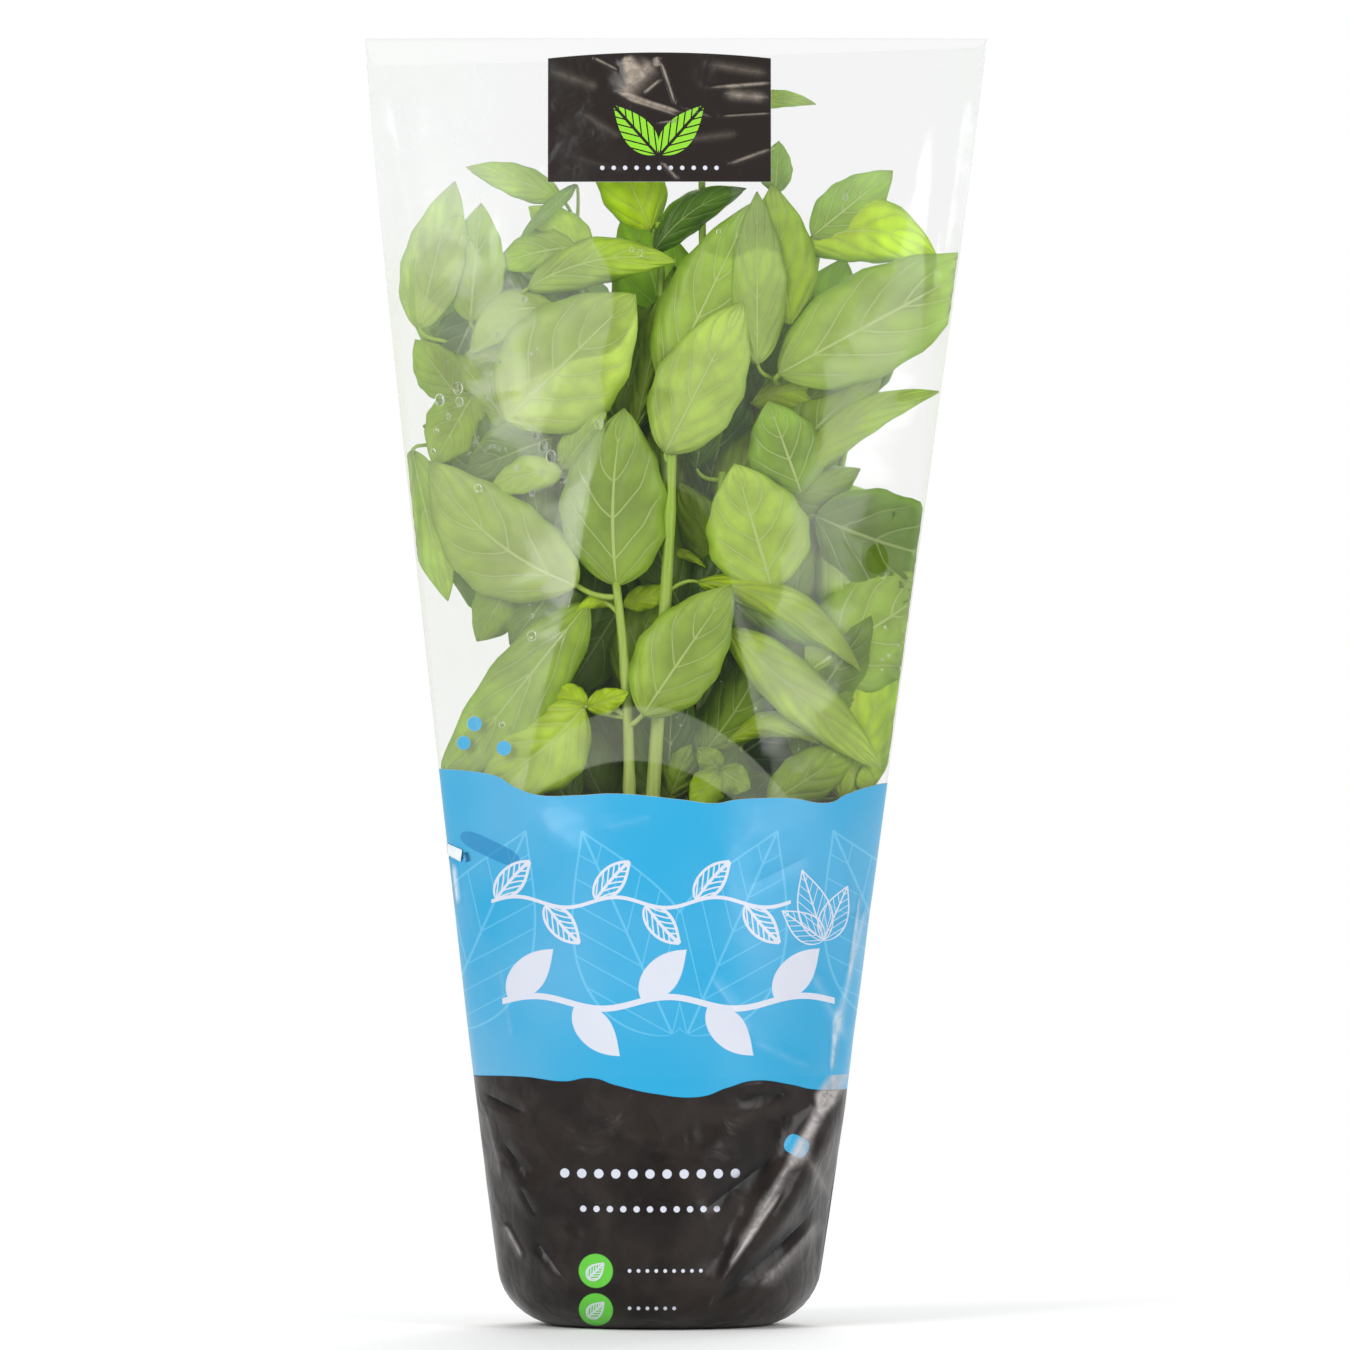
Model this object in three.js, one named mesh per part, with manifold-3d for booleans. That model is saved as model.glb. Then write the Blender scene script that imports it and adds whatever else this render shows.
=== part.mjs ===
// A bag of fresh basil: a tapered film sleeve, pressed nearly flat at its mouth, that stands on
// a round-cornered foot. The sleeve and what fills it are one solid. Its upper part is clear, so
// the leaves that lie against the film stand out on it as low relief, front and back.
// Millimetres. +Z is up, X runs across the sleeve and the front faces -Y. The origin is on the
// ground, under the middle of the mouth.

import * as THREE from 'three';
import { mergeVertices } from 'three/addons/utils/BufferGeometryUtils.js';
import Module from 'manifold-3d';

// Driving dimensions.
const height = 350;
const mouthWidth = 169.2;
const mouthDepth = 8;
const footWidth = 83.2; // where the sides would meet the ground without the rounded corners
const footDepth = 78;
const cornerRadius = 14.7;
const sideBulge = 1.1; // how far the sides stand out from straight lines
const footLean = -4.4; // the foot sits this far off the middle of the mouth
const leanPower = 1.6;
const depthPower = 1.9; // how late the depth closes towards the mouth
const footRoundness = 0.55; // exponent of the section: 0.5 is an ellipse, 1 a sharp lens
const mouthRoundness = 1;

// The vent punched in the clear film, seen as a shallow oval dimple.
const vent = { x: 54.5, z: 208.3, width: 6.2, height: 8.5, depth: 1 };

// Mesh fineness.
const sectionSteps = 48;
const cornerSteps = 5;
const wallSteps = 34;
const leafSteps = { across: 2, along: 5 };

// Leaves that lie against the film: where the base is (x, z), the direction in which the leaf
// grows in degrees from straight up (positive leans to +X), length, width and relief.
const leafRoot = 3.5; // how deep the leaf's own solid reaches into the body
const leafEnd = 0.06; // share of the width that is left at the stalk and at the tip
const veinDip = 0.45; // how much lower the middle vein lies than the leaf's two halves
const leaves = {
  upperLeft: [-43, 246, 44, 46, 31, 2.4],
  upperMiddle: [-3, 256, 26, 54, 25, 2],
  middle: [-3, 238, 28, 44, 21, 2.6],
  centre: [-16, 201, 1, 47, 26, 2.7],
  lowerCentre: [-9, 166, 34, 42, 21, 2.6],
  leftArm: [-28, 202, -51, 50, 25, 2.1],
  lowerLeft: [-25, 168, -52, 36, 23, 2.1],
  leftHaze: [-44, 186, -28, 38, 22, 1.6],
  leftEdge: [-66, 276, 4, 34, 14, 1.7],
  leftTop: [-31, 306, -71, 27, 9, 1.4],
  topGreen: [-7, 298, -23, 33, 18, 1.6],
  crossing: [-40, 282, 80, 40, 13, 1.7],
  rightBroad: [27, 262, 68, 46, 27, 2],
  rightYellow: [34, 293, 96, 36, 17, 1.5],
  paleRight: [26, 200, -16, 35, 28, 2.3],
  rightBlade: [34, 230, 55, 40, 11, 1.7],
  rightShade: [42, 204, 60, 24, 19, 1.5],
  rightArch: [6, 200, 118, 48, 10, 2.6],
  rightLong: [14, 189, 132, 55, 14, 2.1],
  lowRight: [25, 143, 60, 25, 12, 1.5],
};

// Folds pressed into the opaque foot: two ends (x, z), height and width of the ridge.
const folds = {
  longFold: { from: [47, 68], to: [8, 3], rise: 1.8, width: 7 },
  innerFold: { from: [26, 60], to: [12, 8], rise: -1.6, width: 7 },
  leftFold: { from: [-46, 48], to: [-30, 12], rise: 1.2, width: 6 },
};

const share = (z) => THREE.MathUtils.clamp(z / height, 0, 1);

// How much the rounded bottom corners take off each side at a height.
function cornerInset(z) {
  const down = Math.max(cornerRadius - z, 0);
  return cornerRadius - Math.sqrt(cornerRadius ** 2 - down ** 2);
}

function axisX(z) {
  return footLean * (1 - share(z) ** leanPower);
}

function halfWidth(z) {
  const straight = THREE.MathUtils.lerp(footWidth, mouthWidth, share(z)) / 2;
  const bulge = sideBulge * (1 - (2 * share(z) - 1) ** 6);
  return straight + bulge - cornerInset(z);
}

function halfDepth(z) {
  const closing = 1 - share(z) ** depthPower;
  return (mouthDepth + (footDepth - mouthDepth) * closing) / 2 - cornerInset(z);
}

function roundness(z) {
  return THREE.MathUtils.lerp(footRoundness, mouthRoundness, share(z));
}

// Distance from the sleeve's middle plane to its front or back, at a place on the film.
function filmDepth(x, z) {
  const off = Math.min(Math.abs(x - axisX(z)) / halfWidth(z), 1);
  return halfDepth(z) * (1 - off ** 2) ** roundness(z);
}

function foldHeight(x, z) {
  let total = 0;
  for (const { from, to, rise, width } of Object.values(folds)) {
    const line = new THREE.Line3(new THREE.Vector3(...from, 0), new THREE.Vector3(...to, 0));
    const place = new THREE.Vector3(x, z, 0);
    const along = line.closestPointToPointParameter(place, true);
    const away = line.at(along, new THREE.Vector3()).distanceTo(place) / width;
    total += rise * Math.exp(-(away ** 2)) * Math.sin(Math.PI * along);
  }
  return total;
}

// Moves every corner of a geometry by a rule, and leaves only the places of the corners.
function reshape(geometry, rule) {
  const places = geometry.getAttribute('position');
  const corner = new THREE.Vector3();
  for (let i = 0; i < places.count; i += 1) {
    rule(corner.fromBufferAttribute(places, i));
    places.setXYZ(i, corner.x, corner.y, corner.z);
  }
  geometry.deleteAttribute('normal');
  geometry.deleteAttribute('uv');
  return mergeVertices(geometry, 1e-5);
}

// Heights of the sleeve's rows: an arc up the rounded corners, then even steps to the mouth.
function rowHeight(row) {
  if (row <= cornerSteps) {
    return cornerRadius * (1 - Math.cos((row / cornerSteps) * (Math.PI / 2)));
  }
  return THREE.MathUtils.lerp(cornerRadius, height, (row - cornerSteps) / wallSteps);
}

function sleeveGeometry() {
  const rows = cornerSteps + wallSteps;
  const drum = new THREE.CylinderGeometry(1, 1, rows, sectionSteps, rows);
  return reshape(drum, (corner) => {
    const z = rowHeight(Math.round(corner.y + rows / 2));
    const x = axisX(z) + halfWidth(z) * corner.x;
    const bow = Math.abs(corner.z) ** (2 * roundness(z));
    const creased = corner.z > 0 ? foldHeight(x, z) * Math.min(bow, z / cornerRadius) : 0;
    corner.set(x, -Math.sign(corner.z) * (halfDepth(z) * bow + creased), z);
  });
}

// A leaf's outline: the share of its width at a share of its length, widest below the middle.
function leafOutline(along) {
  const oval = (along ** 0.7 * (1 - along)) / 0.34;
  return Math.max(Math.min(oval, 1) ** 0.8, leafEnd);
}

function leafGeometry([baseX, baseZ, heading, length, width, relief], side) {
  const { across, along } = leafSteps;
  const turn = THREE.MathUtils.degToRad(heading);
  const block = new THREE.BoxGeometry(2, 1, 1, across, along, 1);
  return reshape(block, (corner) => {
    const up = (corner.y + 0.5) * length;
    const out = (corner.x * width * leafOutline(corner.y + 0.5)) / 2;
    const z = baseZ + up * Math.cos(turn) - out * Math.sin(turn);
    const reach = halfWidth(z) * 0.95;
    const wide = baseX + up * Math.sin(turn) + out * Math.cos(turn) - axisX(z);
    const x = THREE.MathUtils.clamp(wide, -reach, reach);
    const stand = corner.z > 0 ? relief - veinDip * (1 - Math.abs(corner.x)) : -leafRoot;
    corner.set(axisX(z) + side * x, -side * (filmDepth(axisX(z) + x, z) + stand), z);
  });
}

function ventGeometry() {
  const plug = new THREE.CylinderGeometry(1, 1, 1, 16);
  return reshape(plug, (corner) => {
    const x = vent.x + (corner.x * vent.width) / 2;
    const z = vent.z - (corner.z * vent.height) / 2;
    const stand = corner.y > 0 ? vent.depth * 4 : -vent.depth;
    corner.set(x, -(filmDepth(x, z) + stand), z);
  });
}

const manifold = await Module();
manifold.setup();

function toSolid(geometry) {
  const vertProperties = Float32Array.from(geometry.getAttribute('position').array);
  const triVerts = Uint32Array.from(geometry.index.array);
  return new manifold.Manifold(new manifold.Mesh({ numProp: 3, vertProperties, triVerts }));
}

function toGeometry(solid) {
  const { vertProperties, triVerts } = solid.getMesh();
  const geometry = new THREE.BufferGeometry();
  geometry.setAttribute('position', new THREE.BufferAttribute(vertProperties, 3));
  geometry.setIndex(new THREE.BufferAttribute(triVerts, 1));
  geometry.computeVertexNormals();
  return geometry;
}

function filledSleeve() {
  let solid = toSolid(sleeveGeometry());
  for (const leaf of Object.values(leaves)) {
    for (const side of [1, -1]) {
      solid = solid.add(toSolid(leafGeometry(leaf, side)));
    }
  }
  return toGeometry(solid.subtract(toSolid(ventGeometry())));
}

const film = new THREE.MeshStandardMaterial({ color: 0x86a94f, roughness: 0.25, metalness: 0 });

const sleeve = new THREE.Mesh(filledSleeve(), film);
sleeve.name = 'sleeve';

const group = new THREE.Group();
group.add(sleeve);

export default group;
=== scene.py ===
import math
import random

import bmesh
import bpy
from mathutils import Matrix, Vector, noise


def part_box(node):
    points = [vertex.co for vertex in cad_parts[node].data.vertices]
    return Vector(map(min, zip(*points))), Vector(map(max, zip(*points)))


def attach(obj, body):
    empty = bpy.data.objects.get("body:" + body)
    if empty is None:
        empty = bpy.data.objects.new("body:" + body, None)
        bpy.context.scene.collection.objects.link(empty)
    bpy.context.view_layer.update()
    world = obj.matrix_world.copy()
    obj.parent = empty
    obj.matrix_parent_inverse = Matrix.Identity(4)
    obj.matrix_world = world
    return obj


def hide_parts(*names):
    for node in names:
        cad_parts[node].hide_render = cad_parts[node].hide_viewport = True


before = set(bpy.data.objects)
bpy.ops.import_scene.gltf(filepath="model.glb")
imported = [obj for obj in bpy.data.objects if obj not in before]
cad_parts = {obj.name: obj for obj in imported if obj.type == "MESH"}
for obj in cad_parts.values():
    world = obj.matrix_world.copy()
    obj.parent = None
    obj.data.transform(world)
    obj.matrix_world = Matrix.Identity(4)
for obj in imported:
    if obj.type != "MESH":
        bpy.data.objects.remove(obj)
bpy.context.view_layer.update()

millimetre = 0.001
body = "root"

# All lengths below are millimetres; a piece is scaled to metres when its mesh is finished.

# the sleeve's form, as the solid in the frame has it
lowCorner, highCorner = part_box("sleeve")
sleeve = {
    "height": (highCorner[2] - lowCorner[2]) / millimetre,
    "mouthWidth": (highCorner[0] - lowCorner[0]) / millimetre,
    "mouthDepth": 8,
    "footWidth": 83.2,
    "footDepth": 78,
    "cornerRadius": 14.7,
    "sideBulge": 1.1,
    "footLean": -4.4,
    "leanPower": 1.6,
    "depthPower": 1.9,
    "footRoundness": 0.55,
    "mouthRoundness": 1,
}


def mix(a, b, share):
    return a + (b - a) * share


def limit(value, low=0.0, high=1.0):
    return max(low, min(high, value))


def smooth(value, low, high):
    t = limit((value - low) / (high - low))
    return t * t * (3 - 2 * t)


def upShare(z):
    return limit(z / sleeve["height"])


def cornerInset(z):
    radius = sleeve["cornerRadius"]
    down = max(radius - z, 0)
    return radius - math.sqrt(max(radius**2 - down**2, 0))


def axisX(z):
    return sleeve["footLean"] * (1 - upShare(z) ** sleeve["leanPower"])


def halfWidth(z):
    straight = mix(sleeve["footWidth"], sleeve["mouthWidth"], upShare(z)) / 2
    bulge = sleeve["sideBulge"] * (1 - (2 * upShare(z) - 1) ** 6)
    return straight + bulge - cornerInset(z)


def halfDepth(z):
    closing = 1 - upShare(z) ** sleeve["depthPower"]
    return mix(sleeve["mouthDepth"], sleeve["footDepth"], closing) / 2 - cornerInset(z)


def roundness(z):
    return mix(sleeve["footRoundness"], sleeve["mouthRoundness"], upShare(z))


def filmDepth(x, z):
    off = min(abs(x - axisX(z)) / halfWidth(z), 1)
    return halfDepth(z) * (1 - off**2) ** roundness(z)


# small helpers that build nodes; a value may be a number or another node's output
def feed(tree, socket, value):
    if isinstance(value, bpy.types.NodeSocket):
        tree.links.new(value, socket)
    elif hasattr(socket.default_value, "__len__") and len(socket.default_value) == 4 and len(value) == 3:
        socket.default_value = (*value, 1)
    else:
        socket.default_value = value


def put(tree, kind, inputs=None, **settings):
    node = tree.nodes.new(kind)
    for name, value in settings.items():
        setattr(node, name, value)
    for name, value in (inputs or {}).items():
        feed(tree, node.inputs[name], value)
    return node


def calc(tree, operation, *values, clamp=False):
    node = put(tree, "ShaderNodeMath", operation=operation, use_clamp=clamp)
    for socket, value in zip(node.inputs, values):
        feed(tree, socket, value)
    return node.outputs[0]


def helperFor(operation):
    # three or more values are joined one after the other
    def join(tree, first, *others):
        for other in others:
            first = calc(tree, operation, first, other)
        return first
    return join


total, product, most = helperFor("ADD"), helperFor("MULTIPLY"), helperFor("MAXIMUM")
minus, over = helperFor("SUBTRACT"), helperFor("DIVIDE")
less, more = helperFor("LESS_THAN"), helperFor("GREATER_THAN")


def absolute(tree, value):
    return calc(tree, "ABSOLUTE", value)


def rise(tree, value, low, high, bottom=0.0, top=1.0, kind="SMOOTHSTEP"):
    inputs = {"Value": value, "From Min": low, "From Max": high, "To Min": bottom, "To Max": top}
    return put(tree, "ShaderNodeMapRange", inputs, interpolation_type=kind).outputs[0]


def inverse(tree, value):
    return minus(tree, 1.0, value)


def mixColour(tree, factor, a, b, how="MIX"):
    node = put(tree, "ShaderNodeMix", data_type="RGBA", blend_type=how, clamp_factor=True)
    feed(tree, node.inputs[0], factor)
    feed(tree, node.inputs[6], a)
    feed(tree, node.inputs[7], b)
    return node.outputs[2]


def curveThrough(tree, value, points, low, high):
    # a smooth line through points (from, to); low and high are the range of to
    start, end = points[0][0], points[-1][0]
    node = put(tree, "ShaderNodeFloatCurve")
    feed(tree, node.inputs["Value"], rise(tree, value, start, end, kind="LINEAR"))
    curve = node.mapping.curves[0]
    for at, height in points[1:-1]:
        curve.points.new((at - start) / (end - start), (height - low) / (high - low))
    curve.points[0].location = (0, (points[0][1] - low) / (high - low))
    curve.points[-1].location = (1, (points[-1][1] - low) / (high - low))
    node.mapping.update()
    return rise(tree, node.outputs[0], 0.0, 1.0, low, high, kind="LINEAR")


def noiseAt(tree, vector, scale, detail=3.0, roughness=0.5, distortion=0.0):
    inputs = {"Vector": vector, "Scale": scale, "Detail": detail}
    inputs.update({"Roughness": roughness, "Distortion": distortion})
    return put(tree, "ShaderNodeTexNoise", inputs).outputs["Fac"]


def turnedPlace(tree, x, z, atX, atZ, angle):
    # how far a place lies from a point, across and along a line turned clockwise from upright
    offX, offZ = minus(tree, x, atX), minus(tree, z, atZ)
    sine, cosine = calc(tree, "SINE", angle), calc(tree, "COSINE", angle)
    across = minus(tree, product(tree, offX, cosine), product(tree, offZ, sine))
    along = calc(tree, "MULTIPLY_ADD", offX, sine, product(tree, offZ, cosine))
    return across, along


def bumpNormal(tree, height, strength, lift=1.0):
    # a height of 1 stands for lift millimetres
    inputs = {"Strength": strength, "Distance": lift * millimetre, "Height": height}
    return put(tree, "ShaderNodeBump", inputs).outputs[0]


def placeInMillimetres(tree):
    place = put(tree, "ShaderNodeTexCoord").outputs["Object"]
    scaled = put(tree, "ShaderNodeVectorMath", operation="SCALE")
    feed(tree, scaled.inputs[0], place)
    scaled.inputs["Scale"].default_value = 1 / millimetre
    split = put(tree, "ShaderNodeSeparateXYZ", {"Vector": scaled.outputs[0]})
    return scaled.outputs[0], *split.outputs


def newMaterial(name):
    material = bpy.data.materials.new(name)
    material.use_nodes = True
    material.node_tree.nodes.clear()
    return material, material.node_tree


socketKinds = {"place": "Vector", "colour": "Color", "sheen": "Color", "pocketShade": "Color"}


def newGroup(name, inputs, outputs):
    group = bpy.data.node_groups.new(name, "ShaderNodeTree")
    for way, labels in (("INPUT", inputs), ("OUTPUT", outputs)):
        for label in labels:
            kind = "NodeSocket" + socketKinds.get(label, "Float")
            group.interface.new_socket(label, in_out=way, socket_type=kind)
    given, result = group.nodes.new("NodeGroupInput"), group.nodes.new("NodeGroupOutput")
    return group, given.outputs, result.inputs


def useGroup(tree, group, inputs):
    node = tree.nodes.new("ShaderNodeGroup")
    node.node_tree = group
    for name, value in inputs.items():
        feed(tree, node.inputs[name], value)
    return node.outputs


def shader(tree, kind, inputs):
    return put(tree, "ShaderNodeBsdf" + kind, inputs).outputs[0]


def mixShaders(tree, share, first, second):
    node = put(tree, "ShaderNodeMixShader")
    for socket, value in zip(node.inputs, (share, first, second)):
        feed(tree, socket, value)
    return node.outputs[0]


def finishSurface(tree, surface):
    output = put(tree, "ShaderNodeOutputMaterial")
    tree.links.new(surface, output.inputs["Surface"])


def finishPlain(tree, colour, roughness, normal=None):
    inputs = {"Base Color": colour, "Roughness": roughness}
    if normal:
        inputs["Normal"] = normal
    finishSurface(tree, shader(tree, "Principled", inputs))


def srgb(red, green, blue):
    def linear(value):
        value /= 255
        return value / 12.92 if value <= 0.04045 else ((value + 0.055) / 1.055) ** 2.4
    return (linear(red), linear(green), linear(blue), 1)


def addObject(name, data):
    thing = bpy.data.objects.new(name, data)
    bpy.context.scene.collection.objects.link(thing)
    return thing


# a mesh in millimetres becomes a piece of the scene
def finishPiece(name, bm, materials, doubles=0.0):
    if doubles:
        bmesh.ops.remove_doubles(bm, verts=bm.verts[:], dist=doubles)
    bmesh.ops.scale(bm, vec=(millimetre,) * 3, verts=bm.verts[:])
    mesh = bpy.data.meshes.new(name)
    bm.to_mesh(mesh)
    bm.free()
    mesh.shade_smooth()
    piece = addObject(name, mesh)
    for material in materials:
        mesh.materials.append(material)
    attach(piece, body)
    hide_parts("sleeve")  # film and contents together stand for the solid
    print("made", name, len(mesh.polygons))
    return piece


def addWall(piece, thickness, offset=-1):
    wall = piece.modifiers.new("wall", "SOLIDIFY")
    wall.thickness = thickness * millimetre
    wall.offset = offset
    return wall


# one leaf drawn by nodes, for the print and for the veins of the real leaves
leafPowers = (0.64, 0.9)  # how fast a leaf widens from its stalk and narrows to its tip
printPowers = (0.7, 1.15)  # the printed ones have a sharper tip


def outlinePeak(powers):
    widest = powers[0] / sum(powers)
    return widest ** powers[0] * (1 - widest) ** powers[1]


def leafOutline(along):
    return along ** leafPowers[0] * (1 - along) ** leafPowers[1] / outlinePeak(leafPowers)


def makePrintedLeaf():
    given = ["x", "z", "base x", "base z", "angle", "length", "width", "line"]
    group, g, result = newGroup("printedLeaf", given, ["lines", "fill"])
    sideways, upward = turnedPlace(group, g["x"], g["z"], g["base x"], g["base z"], g["angle"])
    along = calc(group, "DIVIDE", upward, g["length"], clamp=True)
    away = absolute(group, sideways)
    rest = inverse(group, along)
    widening = calc(group, "POWER", along, printPowers[0])
    narrowing = calc(group, "POWER", rest, printPowers[1])
    edge = product(group, widening, narrowing, g["width"], 0.5 / outlinePeak(printPowers))
    gap = minus(group, edge, away)
    inside = rise(group, gap, 0.0, 0.25)
    outline = less(group, absolute(group, gap), g["line"])
    middle = less(group, away, g["line"])
    slant = over(group, away, g["width"])
    phase = product(group, calc(group, "MULTIPLY_ADD", slant, -0.7, along), 6.0)
    between = calc(group, "PINGPONG", phase, 0.5)
    thin = over(group, product(group, g["line"], 5.0), g["length"])
    side = less(group, between, thin)
    started = more(group, along, 0.001)
    within = product(group, started, less(group, along, 0.999))
    ribs = product(group, most(group, middle, side), more(group, gap, 0.0))
    feed(group, result["lines"], product(group, most(group, outline, ribs), within))
    feed(group, result["fill"], product(group, inside, within))
    return group


# side veins leave the middle and run forwards along the edge
veinForm = {"pairs": 4.6, "forward": 0.42, "bend": 1.25, "width": 0.056}


def makeLeafVeins():
    # across and along come from the leaf's own UV map
    given = ["across", "along", "wander"]
    group, g, result = newGroup("leafVeins", given, ["veins", "swell", "margin"])
    away = absolute(group, calc(group, "MULTIPLY_ADD", g["across"], 2.0, -1.0))
    bent = calc(group, "POWER", away, veinForm["bend"])
    ahead = calc(group, "MULTIPLY_ADD", bent, -veinForm["forward"], g["along"])
    phase = calc(group, "MULTIPLY_ADD", ahead, veinForm["pairs"], product(group, g["wander"], 0.6))
    between = calc(group, "PINGPONG", phase, 0.5)
    fade = rise(group, away, 0.97, 0.7)
    side = product(group, rise(group, between, veinForm["width"], 0.016), fade, 0.85)
    narrow = calc(group, "MULTIPLY_ADD", g["along"], -0.035, 0.055)
    middle = rise(group, over(group, away, narrow), 1.0, 0.55)
    feed(group, result["veins"], most(group, side, middle))
    swell = product(group, rise(group, between, 0.0, 0.4), rise(group, away, 0.0, 0.25), fade)
    feed(group, result["swell"], swell)
    feed(group, result["margin"], rise(group, away, 0.72, 1.0))
    return group


printedLeaf = makePrintedLeaf()
leafVeins = makeLeafVeins()

# the print, in millimetres on the front of the film
inks = {
    "sky": srgb(42, 155, 200),
    "skyPale": srgb(104, 186, 218),
    "skyDeep": srgb(22, 118, 172),
    "earth": srgb(30, 23, 20),
    # earthDark and earthPale are the two ends of the painted reflection mottle on the dark ink
    "earthDark": srgb(22, 17, 15),
    "earthPale": srgb(40, 33, 30),
    "white": srgb(200, 204, 216),
    "leafGreen": srgb(96, 190, 62),
    "lime": srgb(132, 200, 46),
    # painted highlight colours for the crests of the creases and, below, painted shade colours for their
    # pockets
    "sheen": {
        "darkFoot": srgb(196, 190, 188), "label": srgb(196, 182, 166), "blueBand": srgb(206, 222, 234),
    },
    "pocketShade": {"darkFoot": srgb(3, 2, 2), "label": srgb(3, 2, 2), "blueBand": srgb(18, 116, 168)},
    "backing": (srgb(176, 182, 184), srgb(208, 212, 211)),
    "torn": (srgb(206, 218, 224), srgb(236, 240, 242)),
}
band = {
    "top": [
        (-65, 151.3), (-50, 149.8), (-43, 146.2), (-36, 144.2), (-27, 144.3), (-16.5, 144.8),
        (1.4, 143.2), (10.7, 142.2), (16, 143.1), (21.7, 143.5), (31, 143.5), (40.9, 142.2),
        (46, 144.4), (57, 147.4), (62, 147.8),
    ],
    "bottom": [
        (-55, 67.9), (-41.3, 68.2), (-30, 67.2), (-23.2, 68.2), (-16.5, 66.4), (-5.5, 64),
        (5.6, 63.1), (14, 65.6), (21.7, 67.4), (31, 66.1), (37.3, 64.6), (44.4, 64.3), (50, 64.8),
    ],
    "edge": 0.12,  # half the width over which the inks meet
}
label = {"left": -34.8, "right": 25.8, "bottom": 310.6, "top": 344.4, "edge": 0.12, "bulge": 1.6}
dots = [(-54.6, 163.6, 2.0), (-57.6, 158.4, 1.9), (-46.6, 157.0, 2.0)]
splash = {"x": 32.6, "z": 49.6, "width": 3.4, "height": 2.6, "turn": 0.5}
# a darker blue oval on the band
darkBlueOval = {"x": -50.4, "z": 129.8, "width": 8.9, "height": 2.3, "turn": 0.43}
badges = {"x": -21.6, "low": 5.6, "high": 16.3, "radius": 4.6}
nick = {
    "z": 128.8, "height": 2.0, "width": 0.7, "flapTop": 130.2, "flapDrop": 3.2, "flapHalf": 2.2,
}
vent = {"x": 54.5, "z": 208.3, "width": 6.2, "height": 8.5}


def ovalMask(tree, x, z, spot):
    across, up = turnedPlace(tree, x, z, spot["x"], spot["z"], spot["turn"])
    terms = []
    for off, size, power in ((across, spot["width"], 4.0), (up, spot["height"], 2.0)):
        share = absolute(tree, over(tree, off, size))
        terms.append(calc(tree, "POWER", share, power))
    return rise(tree, total(tree, *terms), 1.08, 0.92)


def roundMask(tree, x, z, centreX, centreZ, radius, soft=0.15):
    offX, offZ = minus(tree, x, centreX), minus(tree, z, centreZ)
    square = calc(tree, "MULTIPLY_ADD", offX, offX, product(tree, offZ, offZ))
    away = calc(tree, "SQRT", square)
    return rise(tree, away, radius + soft, radius - soft)


def boxMask(tree, x, z, box):
    soft = box["edge"]
    half = (box["right"] - box["left"]) / 2
    off = over(tree, minus(tree, x, box["left"] + half), half)
    raised = calc(tree, "MULTIPLY_ADD", product(tree, off, off), -box["bulge"], box["bulge"])
    underTop = minus(tree, z, raised)
    return product(
        tree,
        rise(tree, x, box["left"] - soft, box["left"] + soft),
        rise(tree, x, box["right"] + soft, box["right"] - soft),
        rise(tree, z, box["bottom"] - soft, box["bottom"] + soft),
        rise(tree, underTop, box["top"] + soft, box["top"] - soft),
    )


def bandEdge(tree, x, z, name, low, high):
    # 1 below the wavy upper or lower edge of the blue band
    edge = curveThrough(tree, x, band[name], low, high)
    return rise(tree, minus(tree, edge, z), -band["edge"], band["edge"])


# leaves on a swaying stalk: x of its start, height, step from leaf to leaf and the size of a leaf
garlands = {
    "upper": {
        "start": -50, "z": 115.5, "step": 13.5, "leaves": 6, "length": 13.5, "width": 7,
        "line": 0.42, "sway": 1.4, "filled": False,
    },
    "lower": {
        "start": -47, "z": 88.5, "step": 18, "leaves": 5, "length": 18, "width": 10,
        "line": 0.7, "sway": 1.6, "filled": True,
    },
}
# a small drawn sprig at the upper right: angle, length and width of its leaves
sprigAt = (40, 105)
sprigLeaves = [(-0.95, 14, 7.5), (-0.3, 20, 9), (0.42, 16, 7.5)]
# large faint leaves behind them, one to each fold of the pattern
ghosts = {
    "fold": 34.0, "x": 2.0, "z": 80.0, "angle": 0.42, "length": 60.0, "width": 32.0,
    "line": 0.34, "strength": 0.55,
}
# rows of dots on the dark inks: x of the first, how many, z, pitch, radius
dotRows = {
    "foot": [
        (-30, 11, 42.5, 4.6, 1.25), (-25, 11, 33.0, 3.6, 0.85), (-12.5, 9, 16.4, 2.4, 0.5),
        (-12.5, 6, 6.2, 2.4, 0.5),
    ],
    "label": [(-20, 11, 314.4, 3.1, 0.6)],
}
tagSprig = {
    "middle": -4.7, "x": 0.4, "z": 318.0, "angle": 0.72, "length": 19.0, "width": 9.0, "line": 0.4,
}


def dotMask(tree, x, z, rows):
    marks = []
    for start, count, height, pitch, radius in rows:
        place = over(tree, minus(tree, x, start), pitch)
        index = calc(tree, "MINIMUM", most(tree, calc(tree, "ROUND", place), 0.0), count - 1)
        off = product(tree, minus(tree, place, index), pitch)
        marks.append(roundMask(tree, off, z, 0.0, height, radius, 0.1))
    return most(tree, *marks)


def leafPrint(tree, x, z, baseX, baseZ, look):
    return useGroup(tree, printedLeaf, {
        "x": x, "z": z, "base x": baseX, "base z": baseZ, "angle": look["angle"],
        "length": look["length"], "width": look["width"], "line": look["line"],
    })


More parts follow.
